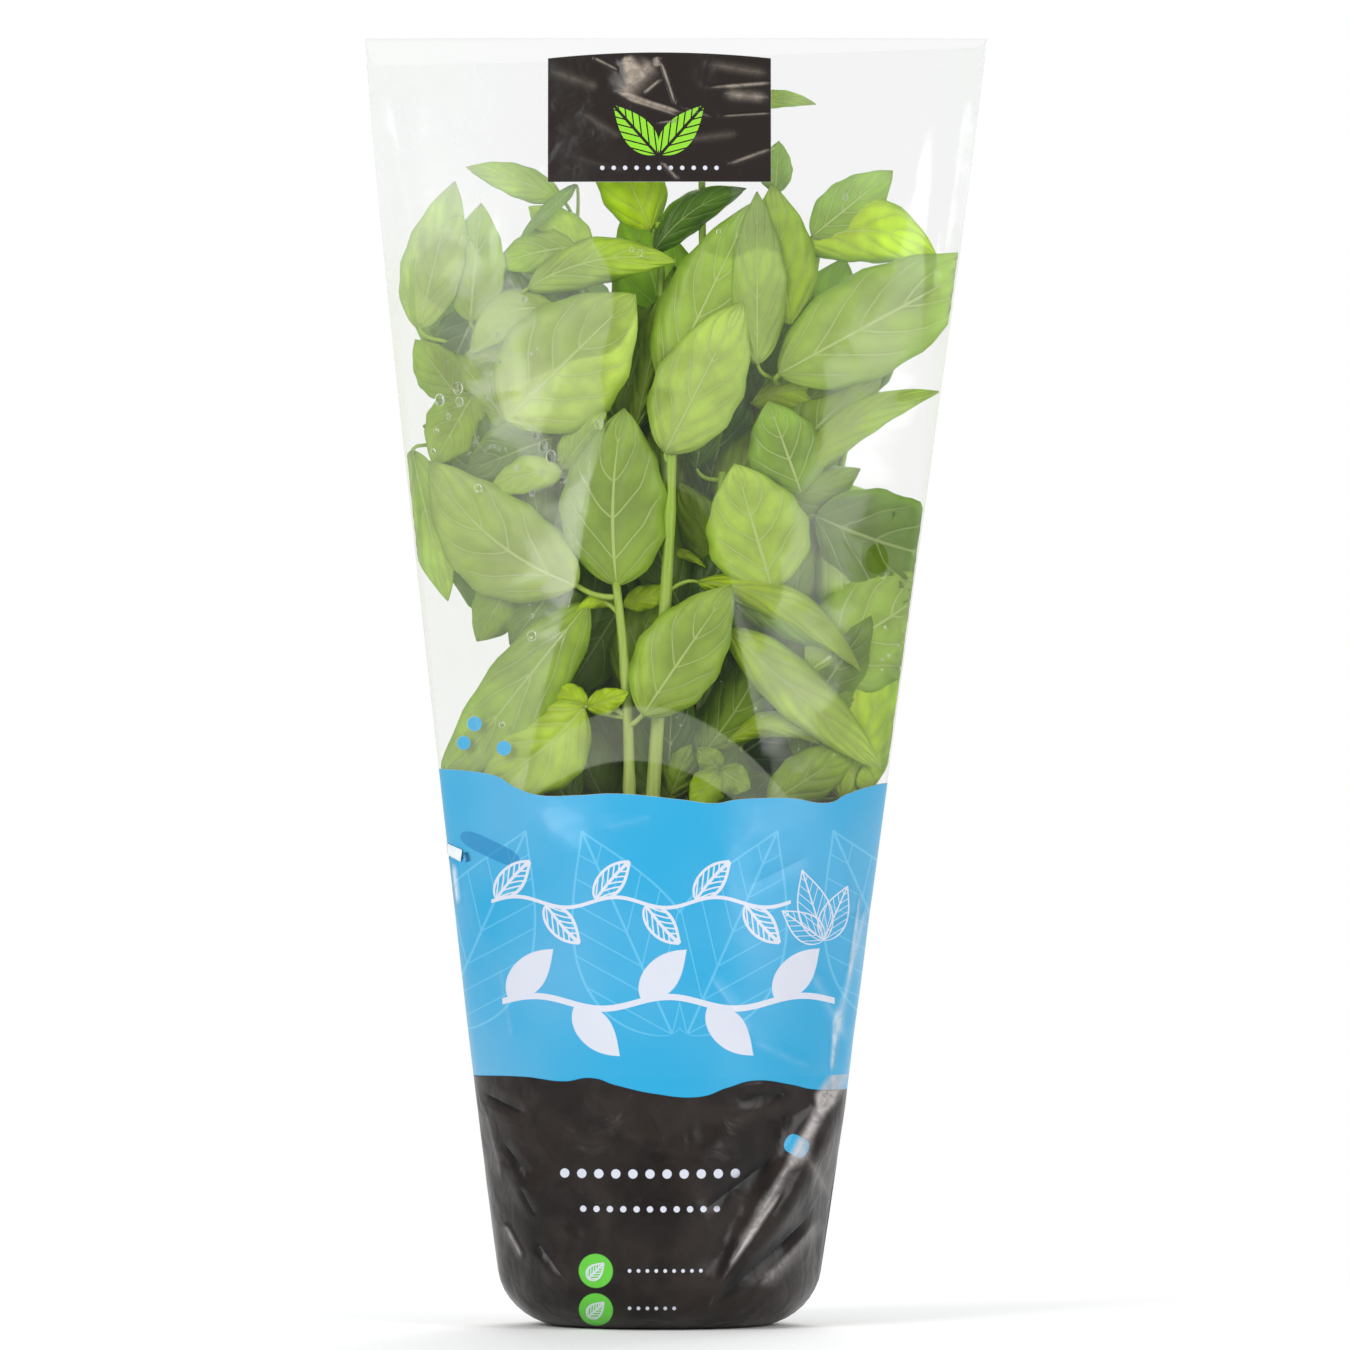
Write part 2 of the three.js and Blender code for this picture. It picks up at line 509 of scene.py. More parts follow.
def garlandMask(tree, x, z, row):
    shifted = minus(tree, x, row["start"])
    cell = calc(tree, "FLOOR", over(tree, shifted, row["step"]))
    local = minus(tree, shifted, product(tree, cell, row["step"]))
    even = less(tree, calc(tree, "PINGPONG", cell, 1.0), 0.5)
    flip = calc(tree, "MULTIPLY_ADD", even, 2.0, -1.0)
    sway = product(tree, calc(tree, "SINE", product(tree, shifted, math.pi / row["step"])), row["sway"])
    height = minus(tree, minus(tree, z, row["z"]), sway)
    upright = product(tree, height, flip)
    drawn = leafPrint(tree, local, upright, row["step"] * 0.1, 0.3, dict(row, angle=0.75))
    stalk = less(tree, absolute(tree, height), row["line"] * 1.2)
    marks = most(tree, drawn["fill"] if row["filled"] else drawn["lines"], stalk)
    started = more(tree, shifted, 0.0)
    return product(tree, marks, started, less(tree, shifted, row["leaves"] * row["step"]))


def makeSkyInk():
    group, g, result = newGroup("skyInk", ["place"], ["colour"])
    x, y, z = put(group, "ShaderNodeSeparateXYZ", {"Vector": g["place"]}).outputs
    wide = calc(group, "PINGPONG", total(group, x, 203.0), ghosts["fold"])
    ghost = leafPrint(group, wide, z, ghosts["x"], ghosts["z"], ghosts)
    faint = product(group, ghost["lines"], ghosts["strength"])
    sky = mixColour(group, faint, inks["sky"], inks["skyPale"])
    wearAndSheen = rise(group, noiseAt(group, g["place"], 0.02, 2.0), 0.35, 0.7, 0.0, 0.1)
    feed(group, result["colour"], mixColour(group, wearAndSheen, sky, inks["white"]))
    return group


skyInk = makeSkyInk()


def skyColour(tree, place):
    return useGroup(tree, skyInk, {"place": place})["colour"]


def bandColour(tree, place, x, z, front):
    sky = skyColour(tree, place)
    # a darker blue oval on the band
    patch = product(tree, ovalMask(tree, x, z, darkBlueOval), front, 0.7)
    sky = mixColour(tree, patch, sky, inks["skyDeep"])
    white = most(tree, *[garlandMask(tree, x, z, row) for row in garlands.values()])
    for angle, length, width in sprigLeaves:
        look = {"angle": angle, "length": length, "width": width, "line": 0.2}
        white = most(tree, white, leafPrint(tree, x, z, *sprigAt, look)["lines"])
    return mixColour(tree, white, sky, inks["white"])


def footColour(tree, place, x, z, front):
    # two green badges with a small leaf, rows of dots and a blue splash on the dark ink
    nearer = more(tree, z, (badges["low"] + badges["high"]) / 2)
    badgeZ = calc(tree, "MULTIPLY_ADD", nearer, badges["high"] - badges["low"], badges["low"])
    localZ = minus(tree, z, badgeZ)
    disc = roundMask(tree, x, localZ, badges["x"], 0.0, badges["radius"])
    look = {"angle": math.pi / 4, "length": 6.2, "width": 3.8, "line": 0.26}
    mark = leafPrint(tree, x, localZ, badges["x"] - 2.2, -2.2, look)["lines"]
    # painted reflection: the dark ink is mottled paler and darker as the glossy film would mirror its
    # surroundings
    reflectionMottle = noiseAt(tree, place, 0.07, 3.0, 0.55, 0.5)
    earth = mixColour(tree, rise(tree, reflectionMottle, 0.34, 0.66), inks["earthDark"], inks["earthPale"])
    earth = mixColour(tree, product(tree, disc, front), earth, inks["leafGreen"])
    white = most(tree, product(tree, mark, disc), dotMask(tree, x, z, dotRows["foot"]))
    earth = mixColour(tree, product(tree, white, front), earth, inks["white"])
    earth = mixColour(tree, product(tree, ovalMask(tree, x, z, splash), front), earth, inks["sky"])
    return mixColour(tree, bandEdge(tree, x, z, "bottom", 50, 80), skyColour(tree, place), earth)


def tagColour(tree, x, z):
    mirrored = absolute(tree, minus(tree, x, tagSprig["middle"]))
    sprig = leafPrint(tree, mirrored, z, tagSprig["x"], tagSprig["z"], tagSprig)
    leaf = mixColour(tree, sprig["lines"], inks["lime"], inks["earth"])
    dark = mixColour(tree, sprig["fill"], inks["earth"], leaf)
    return mixColour(tree, dotMask(tree, x, z, dotRows["label"]), dark, inks["white"])


# the film's haze and painted reflections: the pale panels at the left and right of a clear middle are
# painted reflections of the lamps; the patches near the top, the low arch and a thin veil everywhere are
# milky film
hazeAndReflection = {
    "left": [
        (140, -42), (169, -36.3), (191, -30.9), (205, -26.7), (213, -26.9), (247, -19.2),
        (258, -20.2), (278, -17), (286, -18), (297, -23), (310, -24),
    ],
    "right": [
        (140, 27), (150, 26), (174, 22.6), (191, 18.5), (206, 13.5), (224, 5.4), (230, -3),
        (238, -3.2), (251, -1), (266, 6.5), (279, 17.5), (292, 15.8), (305, 15.2), (312, 15),
    ],
    "leftReflection": 0.145,
    "rightReflection": 0.06,
    "mound": 0.12,  # a pale arch low in the middle: x and height of its crown, drop to the sides
    "moundTop": (-9, 168.5, 0.016),
    "moundBottom": (-12, 153.6, 0.014),
    "topLeft": 0.2,
    "topRight": 0.12,
    "everywhere": 0.004,
    "low": srgb(208, 216, 188),  # painted light: the film between the leaves takes on their green light
    "high": srgb(214, 217, 214),
}


def hazeAndReflectionColour(tree, z):
    return mixColour(tree, rise(tree, z, 262, 312), hazeAndReflection["low"], hazeAndReflection["high"])


def archMask(tree, x, z, middle, height, drop, sign):
    # 1 below (sign 1) or above (sign -1) a flat arch
    off = total(tree, x, -middle)
    line = calc(tree, "MULTIPLY_ADD", product(tree, off, off), -drop, height)
    return rise(tree, product(tree, minus(tree, line, z), float(sign)), -0.4, 0.6)


def hazeAndReflectionMask(tree, place, x, y, z, front, zone):
    # it mixes two shaders, so its nodes stay in the material
    leftLine = curveThrough(tree, z, hazeAndReflection["left"], -60, 60)
    rightLine = curveThrough(tree, z, hazeAndReflection["right"], -60, 60)
    # painted reflections of the lamps: pale panels at the left and the right
    leftReflection = rise(tree, minus(tree, leftLine, x), -0.5, 0.7, 0.0, hazeAndReflection["leftReflection"])
    rightReflection = rise(tree, minus(tree, x, rightLine), -0.5, 0.7, 0.0, hazeAndReflection["rightReflection"])
    if zone == "shoulder":
        above = archMask(tree, x, z, *hazeAndReflection["moundBottom"], -1)
        own = product(tree, archMask(tree, x, z, *hazeAndReflection["moundTop"], 1), above, hazeAndReflection["mound"])
    else:
        topLeft = product(tree, rise(tree, z, 272, 312), rise(tree, x, -30, -62), hazeAndReflection["topLeft"])
        topRight = product(tree, rise(tree, z, 298, 318), rise(tree, x, 20, 40), hazeAndReflection["topRight"])
        own = total(tree, topLeft, topRight)
    panels = total(tree, leftReflection, rightReflection, own)
    cloud = noiseAt(tree, place, 0.035, 3.0)
    uneven = rise(tree, cloud, 0.35, 0.68, 0.7, 1.25, kind="LINEAR")
    edgeBand = rise(tree, absolute(tree, y), 3.0, 0.0, 0.0, 0.12)
    return total(tree, product(tree, panels, uneven, front), edgeBand, hazeAndReflection["everywhere"])


def makePressedLine():
    # the height of one crease: a sharp crest that fades away to its sides and ends
    given = ["x", "z", "start x", "start z", "angle", "length", "width", "lift"]
    group, g, result = newGroup("pressedLine", given, ["height"])
    aside, run = turnedPlace(group, g["x"], g["z"], g["start x"], g["start z"], g["angle"])
    along = over(group, run, g["length"])
    away = absolute(group, aside)
    near = calc(group, "SUBTRACT", 1.0, over(group, away, g["width"]), clamp=True)
    crest = calc(group, "POWER", near, 1.7)
    middle = absolute(group, calc(group, "MULTIPLY_ADD", along, 2.0, -1.0))
    ends = rise(group, middle, 1.15, 0.6)
    feed(group, result["height"], product(group, crest, ends, g["lift"]))
    return group


def makeCrinkle():
    # heights of long soft ripples, and of the fine crumple where the film is printed dark
    group, g, result = newGroup("crinkle", ["place"], ["ripple", "crumple"])
    soft = noiseAt(group, g["place"], 0.05, 2.0, 0.5, 0.4)
    fine = noiseAt(group, g["place"], 0.13, 2.0, 0.5, 0.6)
    feed(group, result["ripple"], product(group, soft, 0.6))
    crumple = total(group, product(group, soft, 1.2), product(group, fine, 0.55))
    feed(group, result["crumple"], crumple)
    return group


def makeCreaseSheenAndShade():
    # painted highlight and painted shade: the ink is painted pale on the crests as a sheen and painted
    # dark in the pockets as shade
    given = ["place", "relief", "colour", "sheen", "pocketShade"]
    group, g, result = newGroup("creaseSheenAndShade", given, ["colour"])
    streaky = rise(group, noiseAt(group, g["place"], 0.35, 3.0, 0.6, 1.0), 0.34, 0.6, 0.62, 1.0)
    crest = product(group, rise(group, g["relief"], 0.15, 1.4, 0.0, 0.82), streaky)
    wearAndSheen = mixColour(group, crest, g["colour"], g["sheen"])
    # painted shade: darker in the pockets of the creases
    deep = rise(group, g["relief"], -0.2, -1.0, 0.0, 0.85)
    feed(group, result["colour"], mixColour(group, deep, wearAndSheen, g["pocketShade"]))
    return group


pressedLine = makePressedLine()
crinkle = makeCrinkle()
creaseSheenAndShade = makeCreaseSheenAndShade()
# creases too fine for the mesh, for each zone of the film: x and z of both ends, half width, lift; where
# a zone has painted sheen, the lift also paints a highlight on the crest or shade in the pocket
fineCreases = {
    "label": [
        (-34, 341, -20, 336, 6.0, 0.45), (8, 343, 26, 340, 5.0, 0.5),
        (-30, 318, -12, 313, 5.0, 0.3), (-14, 345, -10.5, 338, 3.2, 1.8),
        (-5.3, 345, -5, 342, 1.6, 1.3), (-22.4, 344.6, -15.8, 341.2, 1.0, 1.0),
        (-6, 344, -15, 334, 8.0, 0.85), (-26, 330, -14, 322, 5.0, 0.4),
        (2, 322, 18, 324, 5.0, 0.42), (-4, 343.4, -0.2, 331.8, 0.9, 1.3),
        (-16, 335, 1.3, 329.6, 1.2, 1.5), (-13.5, 333.2, 0.8, 328.6, 0.8, 0.9),
        (-8.6, 334.8, -4.2, 338.6, 0.8, 1.0), (-5.2, 326.6, 1.2, 327.5, 0.8, 0.9),
        (8.6, 336.3, 26.2, 337.7, 1.0, 1.1), (13, 334.6, 25, 333.6, 4.0, 0.8),
        (12, 328.5, 26.2, 329.4, 0.8, 0.9), (14.2, 315.4, 26.2, 319.8, 1.3, 0.9),
        (-3.8, 316, 0.6, 311.2, 1.2, 1.0), (1.5, 331, 10, 328.2, 1.4, 0.5),
    ],
    "darkFoot": [
        (47, 72, 39, 60, 5.0, 1.9), (43, 66, 31, 44, 3.8, 1.5), (32, 47, 18, 23, 3.2, 0.9),
        (20, 27, 8, 5, 2.6, 0.5), (29, 38, 15, 18, 1.4, 0.7), (22, 11, 40, 30, 7.5, 0.75),
        (33, 52, 42, 34, 6.0, 0.55), (-46.5, 28, -41.5, 19, 1.8, 0.9), (-52, 60, -47, 40, 2.5, 0.5),
        (27, 47, 8, 33, 5.0, -1.3), (36, 30, 11, 8, 4.6, -1.7), (17, 62.6, 31, 64, 3.4, -1.2),
        (-52, 63.5, -41, 58.5, 3.4, -1.1), (-46.5, 50, -39, 41, 2.4, -0.9),
        (-38, 24.5, -29, 12.5, 3.2, -0.9), (-42, 38, -38, 31, 1.8, -0.7),
        (-8, 60, -2, 50, 3.0, -0.5),
    ],
    "blueBand": [
        (52, 116, 43, 78, 2.6, 0.8), (31, 102, 51, 114, 3.2, -0.45), (8, 97, 22, 78, 3.2, 0.4),
        (50, 118, 47, 95, 1.0, 1.1), (44, 86, 42, 69, 1.6, 1.3), (-61, 126, -59.6, 114, 2.4, 1.8),
        (-57.2, 128.6, -56.4, 126.2, 1.3, -2.2), (36, 98, 47, 76, 6.0, 0.5),
        (20, 78, 38, 70, 5.0, 0.4), (-20, 135, -5, 139, 6.0, 0.35), (-48, 100, -44, 76, 3.0, 0.4),
        (20, 120, 36, 128, 5.0, -0.4),
    ],
    "shoulder": [(-57, 175, -51, 150, 1.6, 0.5)],
    "clearFilm": [(77, 344, 68, 268, 2.0, 0.5), (-60, 212, -55, 172, 1.4, 0.5)],
}


def pressedRelief(tree, x, y, z, zone):
    heights = []
    for x0, z0, x1, z1, width, lift in fineCreases[zone]:
        pressed = useGroup(tree, pressedLine, {
            "x": x, "z": z, "start x": x0, "start z": z0, "angle": math.atan2(x1 - x0, z1 - z0),
            "length": math.hypot(x1 - x0, z1 - z0), "width": width, "lift": lift,
        })["height"]
        heights.append(pressed)
    fade = rise(tree, y, 0.0, -4.0)  # towards the side edges of the film
    return product(tree, total(tree, *heights), fade)


def crinkleNormal(tree, place, x, z, relief, zone):
    crinkled = useGroup(tree, crinkle, {"place": place})
    height = total(tree, crinkled["ripple"], relief)
    if zone == "label":
        height = total(tree, height, crinkled["crumple"])
    if zone == "darkFoot":
        dark = bandEdge(tree, x, z, "bottom", 50, 80)
        height = total(tree, height, product(tree, crinkled["crumple"], dark))
    return bumpNormal(tree, height, 0.8)


# the film is cut into zones from the foot up, so that each material draws only what lies in it
zoneTops = {"darkFoot": 69, "blueBand": 140, "shoulder": 170}
filmZones = [*zoneTops, "label", "clearFilm"]
filmLook = {
    "tint": (0.955, 0.957, 0.957),
    "insideTint": (0.995, 0.995, 0.995),
    "inkRoughness": 0.3,
    "backRoughness": 0.4,
    "coatRoughness": 0.06,
    "clearRoughness": 0.13,
    "index": 1.42,
    "sheen": 0.8,
}
filmGloss = {  # specular level and coat weight of the ink
    "darkFoot": (0.2, 0.07), "blueBand": (0.28, 0.1), "shoulder": (0.28, 0.1), "label": (0.26, 0.3),
    "clearFilm": (0.4, 0.1),
}


def zoneOf(point):
    for zone, top in zoneTops.items():
        if point.z < top:
            return zone
    besideLabel = label["left"] - 2 < point.x < label["right"] + 2
    if point.y < 0 and besideLabel and point.z > label["bottom"] - 2:
        return "label"
    return "clearFilm"


def inkMask(tree, x, z, front, zone):
    # how much of the zone is covered by ink, or None where all of it is
    if zone == "shoulder":
        spots = most(tree, *[roundMask(tree, x, z, *dot) for dot in dots])
        return most(tree, bandEdge(tree, x, z, "top", 130, 160), product(tree, spots, front))
    if zone == "label":
        return product(tree, front, boxMask(tree, x, z, label))
    return 0.0 if zone == "clearFilm" else None


def zoneColour(tree, place, x, z, front, zone):
    if zone == "darkFoot":
        return footColour(tree, place, x, z, front)
    if zone == "blueBand":
        return bandColour(tree, place, x, z, front)
    if zone == "shoulder":
        return skyColour(tree, place)
    if zone == "label":
        return tagColour(tree, x, z)
    return hazeAndReflectionColour(tree, z)


def makeFilmMaterial(zone):
    material, tree = newMaterial(zone)
    place, x, y, z = placeInMillimetres(tree)
    front = less(tree, y, 0.0)
    relief = pressedRelief(tree, x, y, z, zone)
    normal = crinkleNormal(tree, place, x, z, relief, zone)
    colour = zoneColour(tree, place, x, z, front, zone)
    # painted highlight on the crests and painted shade in the pockets of the creases
    if zone in inks["sheen"]:
        colour = useGroup(tree, creaseSheenAndShade, {
            "place": place, "relief": relief, "colour": colour, "sheen": inks["sheen"][zone],
            "pocketShade": inks["pocketShade"][zone],
        })["colour"]
    inked = inkMask(tree, x, z, front, zone)
    if inked is not None and zone != "clearFilm":
        colour = mixColour(tree, inked, hazeAndReflectionColour(tree, z), colour)
    ink = shader(tree, "Principled", {
        "Base Color": colour, "Roughness": filmLook["inkRoughness"],
        "Specular IOR Level": filmGloss[zone][0], "Coat Weight": filmGloss[zone][1],
        "Coat Roughness": filmLook["coatRoughness"], "Normal": normal,
    })
    if inked is None:
        finishSurface(tree, ink)
        return material
    clear = shader(tree, "Transparent", {"Color": filmLook["tint"]})
    gloss = shader(tree, "Glossy", {
        "Color": (1, 1, 1), "Roughness": filmLook["clearRoughness"], "Normal": normal,
    })
    fresnel = put(tree, "ShaderNodeFresnel", {"IOR": filmLook["index"], "Normal": normal}).outputs[0]
    outward = inverse(tree, put(tree, "ShaderNodeNewGeometry").outputs["Backfacing"])
    share = product(tree, fresnel, outward, filmLook["sheen"])
    sheen = mixShaders(tree, share, clear, gloss)
    # milky haze and painted reflections of the lamps on the film
    veilOfHazeAndReflection = hazeAndReflectionMask(tree, place, x, y, z, front, zone)
    covered = veilOfHazeAndReflection if zone == "clearFilm" else most(tree, inked, veilOfHazeAndReflection)
    finishSurface(tree, mixShaders(tree, covered, sheen, ink))
    return material


def makeBackingMaterial(zone):
    # the inner side of the film: the pale back of the ink, or nothing to see
    material, tree = newMaterial(zone + "Inside")
    place, x, y, z = placeInMillimetres(tree)
    clear = shader(tree, "Transparent", {"Color": filmLook["insideTint"]})
    if zone == "clearFilm":
        finishSurface(tree, clear)
        return material
    cloudy = noiseAt(tree, place, 0.05)
    colour = mixColour(tree, cloudy, *inks["backing"])
    ink = shader(tree, "Principled", {"Base Color": colour, "Roughness": filmLook["backRoughness"]})
    front = less(tree, y, 0.0)
    inked = inkMask(tree, x, z, front, zone)
    finishSurface(tree, ink if inked is None else mixShaders(tree, inked, clear, ink))
    return material


film = {
    "across": 170,
    "frontShare": 0.64,  # of the steps across, how many lie on the front
    "baseRows": 6,
    "cornerRows": 9,
    "wallRows": 250,
    "thickness": 0.12,
    "ripple": 0.9,
    "crumple": 0.42,
    "backDrop": (7.6, 2.4),  # how much lower the mouth's back edge is cut, at the left and the right
}
# ridges and grooves pressed into the film: x and z of both ends, height, width
creases = [
    (48, 70, 9, 2, 3.6, 5.5), (39, 66, 6, 6, -1.6, 5), (26, 60, 10, 8, -1.6, 6),
    (34, 30, 6, 1, -1.6, 3.4), (45, 52, 36, 6, -1.2, 5), (-46, 48, -36, 30, 1.3, 3.4),
    (-39, 23, -28, 10, 1.0, 3), (-30, 40, -34, 12, -0.9, 4), (2, 60, 12, 50, -1.1, 7),
    (26, 62, 36, 55, -1.0, 6), (-14, 344, -8, 334, 1.2, 5), (8, 337, 26, 338, 0.7, 3.4),
    (79, 345, 70, 262, 0.7, 3), (73, 340, 66, 275, -0.6, 3), (-78, 340, -70, 280, 0.6, 3),
    (-41, 140, -17, 250, 0.7, 3.5), (26, 145, 6, 222, 0.7, 3.4), (-60, 128, -46, 96, 0.8, 3.4),
    (44, 140, 49, 84, 0.9, 3), (-46, 110, -40, 72, 0.6, 4), (10, 140, 16, 100, 0.5, 5),
    (-40, 140, -20, 120, 0.8, 6),
]


def creaseHeight(x, z):
    height = 0
    for x0, z0, x1, z1, lift, width in creases:
        runX, runZ = x1 - x0, z1 - z0
        along = limit(((x - x0) * runX + (z - z0) * runZ) / (runX**2 + runZ**2))
        away = math.hypot(x - x0 - runX * along, z - z0 - runZ * along)
        if away < 2.5 * width:
            ends = math.sin(math.pi * limit(along, 0.06, 0.94))
            height += lift * math.exp(-((away / width) ** 2)) * ends
    return height


def filmOffset(x, y, z):
    # how far the film stands off the plain form; mostly outwards, so that it clears the leaves
    spot = Vector((x, y * 0.6, z))
    ripple = noise.noise(spot / 34) * film["ripple"]
    crumple = (0.5 - abs(noise.noise(spot / 13 + Vector((7, 0, 0))))) * film["crumple"]
    foot = smooth(z, 80, 20)
    return ripple * (0.5 + 0.5 * foot) + crumple * (0.5 + foot) + (creaseHeight(x, z) if y < 0 else 0)


def filmRow(row):
    # (height, share of the full section) of a row, from the middle of the base to the mouth
    if row <= film["baseRows"]:
        return 0.0, row / film["baseRows"]
    turn = (row - film["baseRows"]) / film["cornerRows"]
    if turn <= 1:
        return sleeve["cornerRadius"] * (1 - math.cos(turn * math.pi / 2)), 1.0
    up = (row - film["baseRows"] - film["cornerRows"]) / film["wallRows"]
    return mix(sleeve["cornerRadius"], sleeve["height"], up), 1.0


def filmPoint(turn, z, share):
    sine, cosine = math.sin(turn), math.cos(turn)
    a, b = halfWidth(z), halfDepth(z)
    x = axisX(z) + a * cosine * share
    y = -math.copysign(b * abs(sine) ** (2 * roundness(z)), sine) * share
    if share < 1:
        pleat = 0.5 * abs(math.sin(turn * 11 + 3 * noise.noise(Vector((cosine, sine, 0)) * 2)))
        return Vector((x, y, pleat * math.sin(math.pi * share)))
    out = Vector((cosine / a, -sine / b, 0)).normalized()
    lift = filmOffset(x, y, z) * smooth(z, 0.5, 10)
    lift *= mix(0.25, 1, smooth(abs(sine), 0.0, 0.35)) * mix(1, 0.5, smooth(z, 330, 350))
    return Vector((x, y, z)) + out * lift


def ventShare(point):
    # 0 in the middle of the vent, 1 on its edge, far off on the back of the film
    if point.y > 0:
        return 9
    return 2 * math.hypot((point.x - vent["x"]) / vent["width"], (point.z - vent["z"]) / vent["height"])


def cutVent(bm):
    # drops the faces inside the oval and draws the ring of corners round it onto its edge
    inside = [face for face in bm.faces if ventShare(face.calc_center_median()) < 1]
    bmesh.ops.delete(bm, geom=inside, context="FACES")
    for vert in bm.verts:
        share = ventShare(vert.co)
        if vert.is_boundary and share < 1.6:
            scale = 1 / max(share, 0.05)
            vert.co.x = mix(vent["x"], vert.co.x, scale)
            vert.co.z = mix(vent["z"], vert.co.z, scale)


def cutNick(bm):
    # a small tear in the left edge of the sleeve
    torn = []
    for face in bm.faces:
        centre = face.calc_center_median()
        inward = centre.x - (axisX(centre.z) - halfWidth(centre.z))
        share = math.hypot(inward / nick["width"], (centre.z - nick["z"]) / (nick["height"] / 2))
        if centre.y < 0.5 and share < 1:
            torn.append(face)
    bmesh.ops.delete(bm, geom=torn, context="FACES")


def makeFlap(materials):
    # the torn tongue of film curls out of the nick and shows its white inside
    bm = bmesh.new()
    bmesh.ops.create_grid(bm, x_segments=10, y_segments=14, size=1.0)
    edgeX = axisX(nick["flapTop"]) - halfWidth(nick["flapTop"])
    for vert in bm.verts:
        across, along = vert.co.x, (vert.co.y + 1) / 2
        x = edgeX + nick["flapHalf"] * (0.9 + across * mix(1.0, 0.8, along))
        z = nick["flapTop"] - nick["flapDrop"] * along - across * 0.9
        vert.co = (x, -filmDepth(x, z) - 0.4 - 0.9 * math.sin(along * math.pi), z)
    bmesh.ops.recalc_face_normals(bm, faces=bm.faces[:])
    addWall(finishPiece("tornFlap", bm, materials), film["thickness"])


def makeFlapMaterial():
    material, tree = newMaterial("flapInside")
    place = placeInMillimetres(tree)[0]
    cloudy = noiseAt(tree, place, 0.6, 3.0)
    finishPlain(tree, mixColour(tree, cloudy, *inks["torn"]), 0.35)
    return material


def makeFilm():
    bm = bmesh.new()
    rows = film["baseRows"] + film["cornerRows"] + film["wallRows"]
    bmesh.ops.create_grid(bm, x_segments=film["across"], y_segments=rows, size=0.5)
    frontSteps = round(film["across"] * film["frontShare"])
    for vert in bm.verts:
        column = (vert.co.x + 0.5) * film["across"]
        z, share = filmRow(round((vert.co.y + 0.5) * rows))
        if column <= frontSteps:
            turn = math.pi * column / frontSteps
        else:
            turn = math.pi * (1 + (column - frontSteps) / (film["across"] - frontSteps))
        point = filmPoint(turn, z, share)
        if math.sin(turn) < 0:  # the back of the mouth is cut a little lower
            across = (math.cos(turn) + 1) / 2
            drop = mix(*film["backDrop"], across) * smooth(abs(math.sin(turn)), 0, 0.3)
            point.z -= drop * smooth(z, 300, 350)
        vert.co = point
    bmesh.ops.remove_doubles(bm, verts=bm.verts[:], dist=0.002)
    bmesh.ops.recalc_face_normals(bm, faces=bm.faces[:])
    cutVent(bm)
    cutNick(bm)
    for face in bm.faces:
        face.material_index = filmZones.index(zoneOf(face.calc_center_median()))
    outside = [makeFilmMaterial(zone) for zone in filmZones]
    inside = [makeBackingMaterial(zone) for zone in filmZones]
    wall = addWall(finishPiece("film", bm, [*outside, *inside]), film["thickness"])
    wall.material_offset = wall.material_offset_rim = len(filmZones)


makeFilm()
makeFlap([makeFlapMaterial()])

